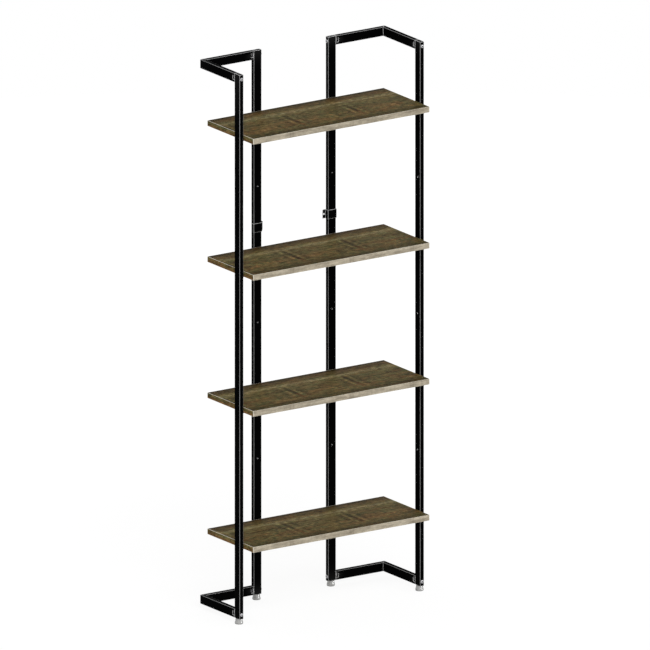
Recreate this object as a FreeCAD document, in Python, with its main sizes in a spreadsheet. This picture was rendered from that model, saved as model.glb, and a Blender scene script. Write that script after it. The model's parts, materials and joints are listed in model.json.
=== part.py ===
import FreeCAD, Part
import math
import os
import re
import Sketcher
from FreeCAD import Placement, Rotation, Vector

# Four-tier shelving unit on a frame of rectangular steel tube.
#
# Row frame: +X to the right, +Y towards the wall, +Z up. The origin is on the floor, at the centre
# of the overall box. All sizes are in millimetres.
#
# Four posts stand on screw-adjusted feet. Two front posts stand outside the ends of the boards, and
# two rear posts stand behind them. At the top and at the bottom, a mitred pair of tubes joins each
# front post to the rear post on its side. Each board rests on four angle brackets, screwed to
# threaded inserts in the posts.

# ---------------------------------------------------------------------------------------------
# Driving dimensions
# ---------------------------------------------------------------------------------------------

SIZES = {
    # boards
    "board_length": 685.8,
    "board_depth": 266.7,
    "board_thickness": 19.05,
    "band_thickness": 1.0,
    "shelf_pitch": 457.2,
    "first_shelf_height": 254.0,
    "side_gap": 0.8,
    "rear_gap": 3.0,
    # tube frame
    "post_length": 1828.8,
    "tube_width": 30.0,
    "tube_thickness": 15.0,
    "tube_wall": 1.5,
    "tube_corner": 1.5,
    "arm_length": 199.0,
    "window_start": 2.0,
    "window_length": 8.0,
    "window_height": 13.5,
    "window_corner": 1.5,
    "plate_thickness": 3.0,
    # bolts and nuts that hold the arms
    "bolt_inset": 15.0,
    "bolt_diameter": 6.0,
    "bolt_hole_clearance": 0.5,
    "bolt_length": 40.0,
    "bolt_point": 1.0,
    "bolt_tip_diameter": 4.5,
    "bolt_head_diameter": 12.0,
    "bolt_head_height": 3.0,
    "bolt_head_edge": 1.0,
    "bolt_socket": 4.0,
    "bolt_socket_depth": 2.0,
    "nut_width": 10.0,
    "nut_height": 5.0,
    "thread_clearance": 0.05,
    # post ends
    "cap_depth": 8.0,
    "cap_top": 2.0,
    "cap_wall": 1.5,
    "plug_height": 10.0,
    # feet
    "foot_height": 18.0,
    "foot_diameter": 28.0,
    "foot_top_diameter": 22.0,
    "foot_edge": 0.8,
    "foot_web": 1.2,
    "glide_diameter": 27.0,
    "glide_height": 3.0,
    "glide_edge": 2.0,
    "pivot_diameter": 6.0,
    "pivot_height": 5.0,
    "running_gap": 0.3,
    "stem_diameter": 8.0,
    "stem_reach": 11.5,
    "stem_chamfer": 0.8,
    # threaded inserts in the posts
    "insert_bore": 4.0,
    "insert_body_diameter": 6.0,
    "insert_hole_clearance": 0.1,
    "insert_length": 9.0,
    "insert_rim_diameter": 7.0,
    "insert_rim_height": 0.4,
    "insert_bulge_diameter": 7.6,
    "insert_bulge_length": 2.0,
    # brackets and their screws
    "bracket_thickness": 2.0,
    "bracket_width": 22.0,
    "bracket_reach": 28.0,
    "bracket_drop": 12.7,
    "bracket_hole_drop": 6.35,
    "bracket_hole_clearance": 0.5,
    "bracket_bend": 2.0,
    "bracket_corner": 3.5,
    "bracket_screw_length": 8.0,
    "bracket_screw_point": 0.7,
    "bracket_screw_tip_diameter": 3.0,
    "bracket_screw_head": 7.0,
    "bracket_screw_head_height": 2.4,
    "bracket_screw_socket": 2.5,
    "bracket_screw_socket_depth": 1.3,
    "wood_screw_setback": 18.0,
    "wood_screw_diameter": 4.0,
    "wood_screw_length": 14.0,
    "wood_screw_point": 4.0,
    "wood_screw_tip_diameter": 0.8,
    "wood_screw_head": 8.0,
    "wood_screw_head_height": 2.5,
    "wood_screw_socket": 3.0,
    "wood_screw_socket_depth": 1.4,
    "screw_head_edge": 0.8,
    "pilot_clearance": 0.1,
    "pilot_spare_depth": 0.5,
    # wall clips
    "clip_height": 30.0,
    "clip_middle": 1233.0,
    "clip_thickness": 2.0,
    "clip_hook": 9.0,
    "clip_flange": 11.0,
    "clip_hole_offset": 6.0,
    "clip_hole_diameter": 5.0,
    "clip_bend": 2.0,
}

SHELF_COUNT = 4
SIDES = (("left", -1), ("right", 1))
LEVELS = ("bottom", "top")

# ---------------------------------------------------------------------------------------------
# Places worked out from the driving dimensions, written in their names
# ---------------------------------------------------------------------------------------------

# The overall box runs from the boards' front edges to the back of the rear feet.
BOARD_BACK = "((board_depth - rear_gap - tube_thickness / 2 - foot_diameter / 2) / 2)"
REAR_PLANE = f"({BOARD_BACK} + rear_gap + tube_thickness)"
FRONT_POST_X = "(board_length / 2 + side_gap + tube_thickness / 2)"
FRONT_POST_Y = f"({REAR_PLANE} - arm_length - tube_width / 2)"
REAR_POST_X = f"({FRONT_POST_X} + tube_thickness / 2 - arm_length - tube_width / 2)"
REAR_POST_Y = f"({REAR_PLANE} - tube_thickness / 2)"

POST_BOTTOM = "foot_height"
POST_TOP = "(foot_height + post_length)"
CAVITY_WIDTH = "(tube_width - 2 * tube_wall)"
CAVITY_THICKNESS = "(tube_thickness - 2 * tube_wall)"

# The inserts are level with the holes of the brackets, and halfway between them.
FIRST_INSERT_HEIGHT = "(first_shelf_height - board_thickness - bracket_hole_drop)"

# Feet: the glide's pin turns in a blind bore, below the bore that holds the stem.
PIVOT_BORE_TOP = "(glide_height + pivot_height + running_gap)"
STEM_BOTTOM = f"({PIVOT_BORE_TOP} + foot_web)"
STEM_RADIUS = "(stem_diameter / 2 - thread_clearance)"

UPRIGHT = Rotation()
SHANK_TO_BACK = Rotation(Vector(1, 0, 0), 90)
SHANK_TO_RIGHT = Rotation(Vector(0, 1, 0), -90)
SHANK_TO_LEFT = Rotation(Vector(0, 1, 0), 90)
SHANK_UP = Rotation(Vector(1, 0, 0), 180)

document = FreeCAD.newDocument("shelving_unit")
sheet = document.addObject("Spreadsheet::Sheet", "sizes")
parts = []


# ---------------------------------------------------------------------------------------------
# Helpers
# ---------------------------------------------------------------------------------------------

def fill_sheet():
    """Puts each driving dimension in a row of its own: its name, and its value under that alias."""
    for row, (name, value) in enumerate(SIZES.items(), start=1):
        sheet.set(f"A{row}", name)
        sheet.set(f"B{row}", str(value))
        sheet.setAlias(f"B{row}", name)
    document.recompute()


def tied(formula):
    """The formula with each dimension's name as a reference to its cell."""
    def reference(match):
        word = match.group()
        return f"sizes.{word}" if word in SIZES else word
    return re.sub(r"[a-z_]+", reference, formula)


def number(formula):
    """The formula's present value."""
    return float(sheet.evalExpression(tied(formula)))


def bind(thing, path, formula):
    thing.setExpression(path, tied(formula))


def turned(degrees):
    return Rotation(Vector(0, 0, 1), degrees)


def place(thing, where, rotation=UPRIGHT):
    """Turns a piece and ties its place to the sheet."""
    thing.Placement = Placement(Vector(), rotation)
    for axis, formula in zip("xyz", where):
        bind(thing, f"Placement.Base.{axis}", formula)


def register(thing, label):
    thing.Label = label
    parts.append(thing)
    return thing


def new_body(name):
    return document.addObject("PartDesign::Body", name)


def origin_part(body, role):
    return next(item for item in body.Origin.OriginFeatures if item.Role == role)


def new_sketch(body, role, height="0"):
    """A sketch on one of the body's own planes, raised by height along that plane's normal."""
    sketch = body.newObject("Sketcher::SketchObject", f"{body.Name}_sketch")
    sketch.AttachmentSupport = [(origin_part(body, role), "")]
    sketch.MapMode = "FlatFace"
    bind(sketch, "AttachmentOffset.Base.z", height)
    return sketch


def pin_point(sketch, geometry, point, where):
    """Ties a point of the sketch to its two coordinates."""
    for kind, formula in zip(("DistanceX", "DistanceY"), where):
        constraint = Sketcher.Constraint(kind, -1, 1, geometry, point, number(formula))
        index = sketch.addConstraint(constraint)
        bind(sketch, f"Constraints[{index}]", formula)


def polygon(sketch, corners):
    """A closed outline of straight lines through the given corners."""
    first = sketch.GeometryCount
    points = [Vector(number(x), number(y), 0) for x, y in corners]
    count = len(corners)
    for index in range(count):
        line = Part.LineSegment(points[index], points[(index + 1) % count])
        sketch.addGeometry(line, False)
    for index in range(count):
        following = first + (index + 1) % count
        joined = Sketcher.Constraint("Coincident", first + index, 2, following, 1)
        sketch.addConstraint(joined)
        pin_point(sketch, first + index, 1, corners[index])


def rectangle(sketch, width, height):
    """A rectangle centred on the sketch's origin."""
    right = f"({width}) / 2"
    top = f"({height}) / 2"
    left = f"-({width}) / 2"
    bottom = f"-({height}) / 2"
    polygon(sketch, [(left, bottom), (right, bottom), (right, top), (left, top)])


def circle(sketch, centre, diameter):
    middle = Vector(number(centre[0]), number(centre[1]), 0)
    ring = Part.Circle(middle, Vector(0, 0, 1), number(diameter) / 2)
    index = sketch.addGeometry(ring, False)
    pin_point(sketch, index, 3, centre)
    size = sketch.addConstraint(Sketcher.Constraint("Diameter", index, number(diameter)))
    bind(sketch, f"Constraints[{size}]", diameter)


def pad(body, sketch, length, sides="One side", backwards=False):
    feature = body.newObject("PartDesign::Pad", f"{body.Name}_pad")
    feature.Profile = sketch
    feature.SideType = sides
    feature.Reversed = backwards
    bind(feature, "Length", length)
    document.recompute()
    return feature


def pocket(body, sketch, length=None, backwards=False):
    """Cuts the sketch to the given length, or right through both ways where no length is given."""
    before = body.Shape.Volume
    feature = body.newObject("PartDesign::Pocket", f"{body.Name}_pocket")
    feature.Profile = sketch
    feature.Reversed = backwards
    if length is None:
        feature.SideType = "Symmetric"
        feature.Type = "ThroughAll"
    else:
        bind(feature, "Length", length)
    document.recompute()
    if not body.Shape.Volume < before:
        raise ValueError(f"{feature.Name} cuts nothing")
    return feature


def revolve(body, corners):
    """Turns a profile, given as (radius, height) corners, about the body's Z axis."""
    sketch = new_sketch(body, "XZ_Plane")
    polygon(sketch, corners)
    feature = body.newObject("PartDesign::Revolution", f"{body.Name}_revolution")
    feature.Profile = sketch
    feature.ReferenceAxis = (origin_part(body, "Z_Axis"), [""])
    feature.Angle = 360
    document.recompute()
    return feature


def round_edges(body, radius, chosen, kind="PartDesign::Fillet"):
    """Rounds, or chamfers, the edges for which chosen is true."""
    base = body.Tip
    names = [f"Edge{index}" for index, edge in enumerate(base.Shape.Edges, start=1) if chosen(edge)]
    if not names:
        raise ValueError(f"{body.Name} has no such edge")
    feature = body.newObject(kind, f"{body.Name}_edge")
    feature.Base = (base, names)
    bind(feature, "Radius" if kind == "PartDesign::Fillet" else "Size", radius)
    document.recompute()
    return feature


def runs_along(edge, direction):
    """Whether a straight edge runs along the direction."""
    if not isinstance(edge.Curve, Part.Line):
        return False
    return abs(edge.Curve.Direction.dot(direction)) > 0.999


def is_ring(edge, radius, height):
    """Whether an edge is a full circle about the Z axis, of that radius and at that height."""
    if not isinstance(edge.Curve, Part.Circle):
        return False
    centre = edge.Curve.Center
    on_axis = abs(centre.x) < 0.001 and abs(centre.y) < 0.001
    return on_axis and abs(edge.Curve.Radius - radius) < 0.001 and abs(centre.z - height) < 0.001


def box(name, size, corner):
    block = document.addObject("Part::Box", name)
    for key, formula in zip(("Length", "Width", "Height"), size):
        bind(block, key, formula)
    place(block, corner)
    return block


def cylinder(name, diameter, height, centre, rotation=UPRIGHT):
    rod = document.addObject("Part::Cylinder", name)
    bind(rod, "Radius", f"({diameter}) / 2")
    bind(rod, "Height", height)
    place(rod, centre, rotation)
    return rod


def cut(name, base, tool):
    result = document.addObject("Part::Cut", name)
    result.Base = base
    result.Tool = tool
    return result


def group(label, master, seats):
    """One node of identical pieces: a copy of the master at each seat (place, rotation)."""
    copies = []
    for where, rotation in seats:
        copy = document.addObject("App::Link", f"{label}_copy")
        copy.LinkedObject = master
        copy.LinkTransform = False
        place(copy, where, rotation)
        copies.append(copy)
    compound = document.addObject("Part::Compound", label)
    compound.Links = copies
    return register(compound, label)


# ---------------------------------------------------------------------------------------------
# Tube frame
# ---------------------------------------------------------------------------------------------

def hollow_section(sketch):
    """The tube's section, its thickness along the sketch's first axis."""
    rectangle(sketch, "tube_thickness", "tube_width")
    rectangle(sketch, CAVITY_THICKNESS, CAVITY_WIDTH)


def on_outline(point, half_thickness, half_width):
    """Whether a point lies on one of the section's outer corners."""
    return abs(abs(point[0]) - half_thickness) < 0.001 and abs(abs(point[1]) - half_width) < 0.001


def round_tube_corners(body, direction, across):
    """Rounds the four long outer edges; across gives an edge's place in the section."""
    half_thickness = number("tube_thickness / 2")
    half_width = number("tube_width / 2")

    def is_corner(edge):
        middle = edge.CenterOfMass
        return runs_along(edge, direction) and on_outline(across(middle), half_thickness, half_width)

    round_edges(body, "tube_corner", is_corner)


def make_post(label, where, rotation):
    """A post from its bottom end up. Its inserts enter through the wide face on -X."""
    body = new_body(label)
    section = new_sketch(body, "XY_Plane")
    hollow_section(section)
    pad(body, section, "post_length")
    round_tube_corners(body, Vector(0, 0, 1), lambda point: (point.x, point.y))

    bolt_holes = new_sketch(body, "XZ_Plane")
    for height in ("bolt_inset", "post_length - bolt_inset"):
        circle(bolt_holes, ("0", height), "bolt_diameter + bolt_hole_clearance")
    pocket(body, bolt_holes)

    insert_hole = new_sketch(body, "YZ_Plane")
    circle(insert_hole, ("0", FIRST_INSERT_HEIGHT), "insert_body_diameter + insert_hole_clearance")
    first_hole = pocket(body, insert_hole, "tube_thickness")
    pattern = body.newObject("PartDesign::LinearPattern", f"{body.Name}_pattern")
    pattern.Originals = [first_hole]
    pattern.Direction = (insert_hole, ["V_Axis"])
    pattern.Mode = "Spacing"
    pattern.Occurrences = 2 * SHELF_COUNT - 1
    bind(pattern, "Offset", "shelf_pitch / 2")
    body.Tip = pattern

    place(body, where, rotation)
    register(body, label)


def make_arm(label, where, rotation, outer):
    """A mitred arm along +X from the post to the corner. outer is the side, along Y, of its tip."""
    body = new_body(label)
    section = new_sketch(body, "YZ_Plane")
    hollow_section(section)
    pad(body, section, "arm_length")
    round_tube_corners(body, Vector(1, 0, 0), lambda point: (point.y, point.z))

    mitre = new_sketch(body, "XY_Plane")
    outer_edge = f"{outer} * tube_thickness / 2"
    inner_edge = f"{-outer} * tube_thickness / 2"
    polygon(mitre, [
        ("arm_length", outer_edge),
        ("arm_length", inner_edge),
        ("arm_length - tube_thickness", inner_edge),
    ])
    pocket(body, mitre)

    window = new_sketch(body, "XZ_Plane")
    window_end = "window_start + window_length"
    polygon(window, [
        ("window_start", "-window_height / 2"),
        (window_end, "-window_height / 2"),
        (window_end, "window_height / 2"),
        ("window_start", "window_height / 2"),
    ])
    pocket(body, window)
    window_top = number("window_height / 2")

    def is_window_corner(edge):
        height = abs(edge.CenterOfMass.z)
        return runs_along(edge, Vector(0, 1, 0)) and abs(height - window_top) < 0.001

    round_edges(body, "window_corner", is_window_corner)
    place(body, where, rotation)
    register(body, label)


def make_end_plate(label, where, rotation):
    """The plate welded inside an arm's end, with the bolt's hole through it."""
    plate_size = ("plate_thickness", CAVITY_THICKNESS, CAVITY_WIDTH)
    corner = ("0", f"-{CAVITY_THICKNESS} / 2", f"-{CAVITY_WIDTH} / 2")
    blank = box(f"{label}_blank", plate_size, corner)
    bore = cylinder(
        f"{label}_bore", "bolt_diameter + bolt_hole_clearance", "plate_thickness",
        ("0", "0", "0"), Rotation(Vector(0, 1, 0), 90))
    plate = cut(label, blank, bore)
    place(plate, where, rotation)
    register(plate, label)


def make_frame():
    for side, sign in SIDES:
        facing_in = turned(90 - 90 * sign)
        make_post(f"post_front_{side}", (f"{sign} * {FRONT_POST_X}", FRONT_POST_Y, POST_BOTTOM),
                  facing_in)
        make_post(f"post_rear_{side}", (f"{sign} * {REAR_POST_X}", REAR_POST_Y, POST_BOTTOM),
                  turned(90))

    heights = {
        "bottom": f"{POST_BOTTOM} + tube_width / 2",
        "top": f"{POST_TOP} - tube_width / 2",
    }
    for level in LEVELS:
        for side, sign in SIDES:
            side_start = (
                f"{sign} * {FRONT_POST_X}", f"{REAR_PLANE} - arm_length", heights[level])
            back_start = (
                f"{sign} * ({REAR_POST_X} + tube_width / 2)", REAR_POST_Y, heights[level])
            make_arm(f"arm_{level}_{side}_side", side_start, turned(90), -sign)
            make_arm(f"arm_{level}_{side}_back", back_start, turned(90 - 90 * sign), sign)
            make_end_plate(f"end_plate_{level}_{side}_side", side_start, turned(90))
            make_end_plate(
                f"end_plate_{level}_{side}_back", back_start, turned(90 - 90 * sign))


# ---------------------------------------------------------------------------------------------
# Fasteners. Each is drawn along Z: its head above the origin, its shank below.
# ---------------------------------------------------------------------------------------------

def hexagon(sketch, width):
    """A hexagon about the sketch's origin, of that width across its flats."""
    half = f"({width}) / 2"
    corner = f"({width}) / 2 / cos(30)"
    polygon(sketch, [
        (corner, "0"),
        (f"{corner} / 2", half),
        (f"-{corner} / 2", half),
        (f"-{corner}", "0"),
        (f"-{corner} / 2", f"-{half}"),
        (f"{corner} / 2", f"-{half}"),
    ])


def make_screw(name, head, head_height, head_edge, shank, length, point, tip, socket, socket_depth):
    """A button-headed screw with a hexagonal socket. Over the length of its point, the shank narrows
    to the tip's diameter."""
    body = new_body(name)
    shank_radius = f"({shank}) / 2"
    revolve(body, [
        ("0", head_height),
        (f"({head}) / 2", head_height),
        (f"({head}) / 2", "0"),
        (shank_radius, "0"),
        (shank_radius, f"-({length}) + ({point})"),
        (f"({tip}) / 2", f"-({length})"),
        ("0", f"-({length})"),
    ])
    head_radius = number(f"({head}) / 2")
    top = number(head_height)
    round_edges(body, head_edge, lambda edge: is_ring(edge, head_radius, top))
    drive = new_sketch(body, "XY_Plane", head_height)
    hexagon(drive, socket)
    pocket(body, drive, socket_depth)
    return body


def frame_bolt_seats():
    """Where each frame bolt's head rests: on the front posts' fronts and the rear posts' inner sides."""
    seats = []
    for height in (f"{POST_BOTTOM} + bolt_inset", f"{POST_TOP} - bolt_inset"):
        for side, sign in SIDES:
            front = (f"{sign} * {FRONT_POST_X}", f"{FRONT_POST_Y} - tube_width / 2", height)
            rear = (f"{sign} * ({REAR_POST_X} - tube_width / 2)", REAR_POST_Y, height)
            outwards = SHANK_TO_RIGHT if side == "right" else SHANK_TO_LEFT
            seats.append((front, SHANK_TO_BACK))
            seats.append((rear, outwards))
    return seats


def make_frame_fasteners():
    bolt = make_screw(
        "bolt_master", "bolt_head_diameter", "bolt_head_height", "bolt_head_edge",
        "bolt_diameter - 2 * thread_clearance", "bolt_length", "bolt_point", "bolt_tip_diameter",
        "bolt_socket", "bolt_socket_depth")
    group("frame_bolts", bolt, frame_bolt_seats())

    # The nut lies against the end plate, one post's width and one plate below the bolt's head.
    nut = new_body("nut_master")
    across = new_sketch(nut, "XY_Plane", "-tube_width - plate_thickness")
    hexagon(across, "nut_width")
    pad(nut, across, "nut_height", backwards=True)
    bore = new_sketch(nut, "XY_Plane")
    circle(bore, ("0", "0"), "bolt_diameter")
    pocket(nut, bore)
    group("frame_nuts", nut, frame_bolt_seats())


def post_faces():
    """For each post, a function from distance off its insert face to a place, and the shank's turn."""
    faces = []
    for side, sign in SIDES:
        outwards = SHANK_TO_RIGHT if side == "right" else SHANK_TO_LEFT
        faces.append((
            lambda off, sign=sign: (
                f"{sign} * (board_length / 2 + side_gap - ({off}))", FRONT_POST_Y),
            outwards, turned(90 + 90 * sign)))
        faces.append((
            lambda off, sign=sign: (
                f"{sign} * {REAR_POST_X}", f"{REAR_PLANE} - tube_thickness - ({off})"),
            SHANK_TO_BACK, turned(-90)))
    return faces


def make_inserts():
    """Threaded inserts: one behind each bracket, and spare ones halfway between the boards."""
    insert = new_body("insert_master")
    bore = "insert_bore / 2"
    rim = "insert_rim_diameter / 2"
    body_radius = "insert_body_diameter / 2"
    bulge = "insert_bulge_diameter / 2"
    revolve(insert, [
        (bore, "insert_rim_height"),
        (rim, "insert_rim_height"),
        (rim, "0"),
        (body_radius, "0"),
        (body_radius, "-tube_wall"),
        (bulge, "-tube_wall"),
        (bulge, "-tube_wall - insert_bulge_length"),
        (body_radius, "-tube_wall - insert_bulge_length"),
        (body_radius, "-insert_length"),
        (bore, "-insert_length"),
    ])
    seats = []
    for spot, shank_turn, _ in post_faces():
        for step in range(2 * SHELF_COUNT - 1):
            height = f"{POST_BOTTOM} + {FIRST_INSERT_HEIGHT} + {step} * shelf_pitch / 2"
            x, y = spot("0")
            seats.append(((x, y, height), shank_turn))
    group("threaded_inserts", insert, seats)


# ---------------------------------------------------------------------------------------------
# Post ends and feet
# ---------------------------------------------------------------------------------------------

def post_spots():
    """Each post's name, the place of its axis, and the turn of its section."""
    spots = []
    for side, sign in SIDES:
        spots.append((f"front_{side}", (f"{sign} * {FRONT_POST_X}", FRONT_POST_Y), turned(0)))
        spots.append((f"rear_{side}", (f"{sign} * {REAR_POST_X}", REAR_POST_Y), turned(90)))
    return spots


def make_cap(label, spot, rotation):
    """A cup pushed into a post's top end, its closed face flush with the tube's end."""
    body = new_body(label)
    outline = new_sketch(body, "XY_Plane")
    rectangle(outline, CAVITY_THICKNESS, CAVITY_WIDTH)
    pad(body, outline, "cap_depth", backwards=True)
    hollow = new_sketch(body, "XY_Plane", "-cap_depth")
    rectangle(hollow, f"{CAVITY_THICKNESS} - 2 * cap_wall", f"{CAVITY_WIDTH} - 2 * cap_wall")
    pocket(body, hollow, "cap_depth - cap_top", backwards=True)
    place(body, (*spot, POST_TOP), rotation)
    register(body, label)


def make_plug(label, spot, rotation):
    """A threaded block in a post's bottom end."""
    size = (CAVITY_THICKNESS, CAVITY_WIDTH, "plug_height")
    corner = (f"-{CAVITY_THICKNESS} / 2", f"-{CAVITY_WIDTH} / 2", "0")
    blank = box(f"{label}_blank", size, corner)
    bore = cylinder(f"{label}_bore", "stem_diameter", "plug_height", ("0", "0", "0"))
    plug = cut(label, blank, bore)
    place(plug, (*spot, POST_BOTTOM), rotation)
    register(plug, label)


def make_glide(label, spot):
    """The disc that stands on the floor, with the pin on which the foot turns."""
    body = new_body(label)
    disc = "glide_diameter / 2"
    pin = "pivot_diameter / 2"
    revolve(body, [
        ("0", "0"),
        (disc, "0"),
        (disc, "glide_height"),
        (pin, "glide_height"),
        (pin, "glide_height + pivot_height"),
        ("0", "glide_height + pivot_height"),
    ])
    radius = number(disc)
    round_edges(body, "glide_edge", lambda edge: is_ring(edge, radius, 0))
    place(body, (*spot, "0"))
    register(body, label)


def make_foot(label, spot):
    """The cone that is turned by hand: a blind bore for the glide's pin, and one for the stem."""
    body = new_body(label)
    bottom = "glide_height + running_gap"
    top = "foot_height - running_gap"
    pin_bore = "pivot_diameter / 2 + thread_clearance"
    revolve(body, [
        (pin_bore, bottom),
        ("foot_diameter / 2", bottom),
        ("foot_top_diameter / 2", top),
        (STEM_RADIUS, top),
        (STEM_RADIUS, STEM_BOTTOM),
        ("0", STEM_BOTTOM),
        ("0", PIVOT_BORE_TOP),
        (pin_bore, PIVOT_BORE_TOP),
    ])
    rim = number("foot_top_diameter / 2")
    rim_height = number(top)
    round_edges(body, "foot_edge", lambda edge: is_ring(edge, rim, rim_height))
    place(body, (*spot, "0"))
    register(body, label)


def make_stem(label, spot):
    """The threaded stem, fixed in the foot and screwed into the plug."""
    body = new_body(label)
    outline = new_sketch(body, "XY_Plane", STEM_BOTTOM)
    circle(outline, ("0", "0"), f"2 * {STEM_RADIUS}")
    pad(body, outline, f"foot_height + stem_reach - {STEM_BOTTOM}")
    radius = number(STEM_RADIUS)
    end = number("foot_height + stem_reach")
    round_edges(body, "stem_chamfer", lambda edge: is_ring(edge, radius, end),
                "PartDesign::Chamfer")
    place(body, (*spot, "0"))
    register(body, label)


def make_post_ends():
    for name, spot, rotation in post_spots():
        make_cap(f"top_cap_{name}", spot, rotation)
        make_plug(f"foot_plug_{name}", spot, rotation)
        make_glide(f"foot_glide_{name}", spot)
        make_foot(f"foot_cone_{name}", spot)
        make_stem(f"foot_stem_{name}", spot)


# ---------------------------------------------------------------------------------------------
# Shelves, their brackets and screws
# ---------------------------------------------------------------------------------------------

def wood_screw_spots():
    """Where the four wood screws enter each board, seen from above."""
    setback = "insert_rim_height + wood_screw_setback"
    return [spot(setback) for spot, _, _ in post_faces()]


def shelf_top(index):
    return f"({POST_BOTTOM} + first_shelf_height + {index} * shelf_pitch)"


def make_board(label, index):
    """A board behind its front band, from its top face down, with pilot holes in its underside."""
    body = new_body(label)
    outline = new_sketch(body, "XY_Plane")
    half = "board_length / 2"
    front = f"{BOARD_BACK} - board_depth + band_thickness"
    polygon(outline, [
        (f"-{half}", front), (half, front), (half, BOARD_BACK), (f"-{half}", BOARD_BACK)])
    pad(body, outline, "board_thickness", backwards=True)
    pilots = new_sketch(body, "XY_Plane", "-board_thickness")
    for spot in wood_screw_spots():
        circle(pilots, spot, "wood_screw_diameter + pilot_clearance")
    depth = "wood_screw_length - bracket_thickness + pilot_spare_depth"
    pocket(body, pilots, depth, backwards=True)
    place(body, ("0", "0", shelf_top(index)))
    register(body, label)


def make_band(label, index):
    """The pale strip glued along a board's front edge."""
    size = ("board_length", "band_thickness", "board_thickness")
    corner = (
        "-board_length / 2", f"{BOARD_BACK} - board_depth", f"{shelf_top(index)} - board_thickness")
    register(box(label, size, corner), label)


def make_bracket_master():
    """An angle bracket. Its leg lies along Z and its arm, under the board, along +X. The origin is
    at the leg's hole, on the leg's outer face."""
    body = new_body("bracket_master")
    profile = new_sketch(body, "XZ_Plane")
    leg_end = "bracket_hole_drop - bracket_drop"
    arm_under = "bracket_hole_drop - bracket_thickness"
    polygon(profile, [
        ("0", leg_end),
        ("bracket_thickness", leg_end),
        ("bracket_thickness", arm_under),
        ("bracket_reach", arm_under),
        ("bracket_reach", "bracket_hole_drop"),
        ("0", "bracket_hole_drop"),
    ])
    pad(body, profile, "bracket_width", sides="Symmetric")

    across = Vector(0, 1, 0)
    bend_height = number("bracket_hole_drop")
    round_edges(body, "bracket_bend", lambda edge: (
        runs_along(edge, across)
        and abs(edge.CenterOfMass.x) < 0.001
        and abs(edge.CenterOfMass.z - bend_height) < 0.001))
    free_end = number("bracket_reach")
    round_edges(body, "bracket_corner", lambda edge: (
        runs_along(edge, Vector(0, 0, 1)) and abs(edge.CenterOfMass.x - free_end) < 0.001))

    leg_hole = new_sketch(body, "YZ_Plane")
    circle(leg_hole, ("0", "0"), "insert_bore + bracket_hole_clearance")
    pocket(body, leg_hole, "bracket_thickness", backwards=True)
    arm_hole = new_sketch(body, "XY_Plane")
    circle(arm_hole, ("wood_screw_setback", "0"), "wood_screw_diameter + bracket_hole_clearance")
    pocket(body, arm_hole)
    return body


def make_shelves():
    bracket = make_bracket_master()
    bracket_seats = []
    bracket_screw_seats = []
    wood_screw_seats = []
    for index in range(SHELF_COUNT):
        make_board(f"shelf_board_{index + 1}", index)
        make_band(f"shelf_front_band_{index + 1}", index)
        underside = f"{shelf_top(index)} - board_thickness"
        hole_height = f"{underside} - bracket_hole_drop"
        seats = []
        for spot, shank_turn, arm_turn in post_faces():
            seats.append(((*spot("insert_rim_height"), hole_height), arm_turn))
            screw_spot = spot("insert_rim_height + bracket_thickness")
            bracket_screw_seats.append(((*screw_spot, hole_height), shank_turn))
        for spot in wood_screw_spots():
            wood_screw_seats.append(((*spot, f"{underside} - bracket_thickness"), SHANK_UP))
        bracket_seats.append(seats)
    for index, seats in enumerate(bracket_seats, start=1):
        group(f"shelf_brackets_{index}", bracket, seats)

    bracket_screw = make_screw(
        "bracket_screw_master", "bracket_screw_head", "bracket_screw_head_height",
        "screw_head_edge", "insert_bore - 2 * thread_clearance", "bracket_screw_length",
        "bracket_screw_point", "bracket_screw_tip_diameter", "bracket_screw_socket",
        "bracket_screw_socket_depth")
    group("bracket_screws", bracket_screw, bracket_screw_seats)
    wood_screw = make_screw(
        "wood_screw_master", "wood_screw_head", "wood_screw_head_height",
        "screw_head_edge", "wood_screw_diameter", "wood_screw_length",
        "wood_screw_point", "wood_screw_tip_diameter", "wood_screw_socket",
        "wood_screw_socket_depth")
    group("wood_screws", wood_screw, wood_screw_seats)


# ---------------------------------------------------------------------------------------------
# Wall clips
# ---------------------------------------------------------------------------------------------

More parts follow.
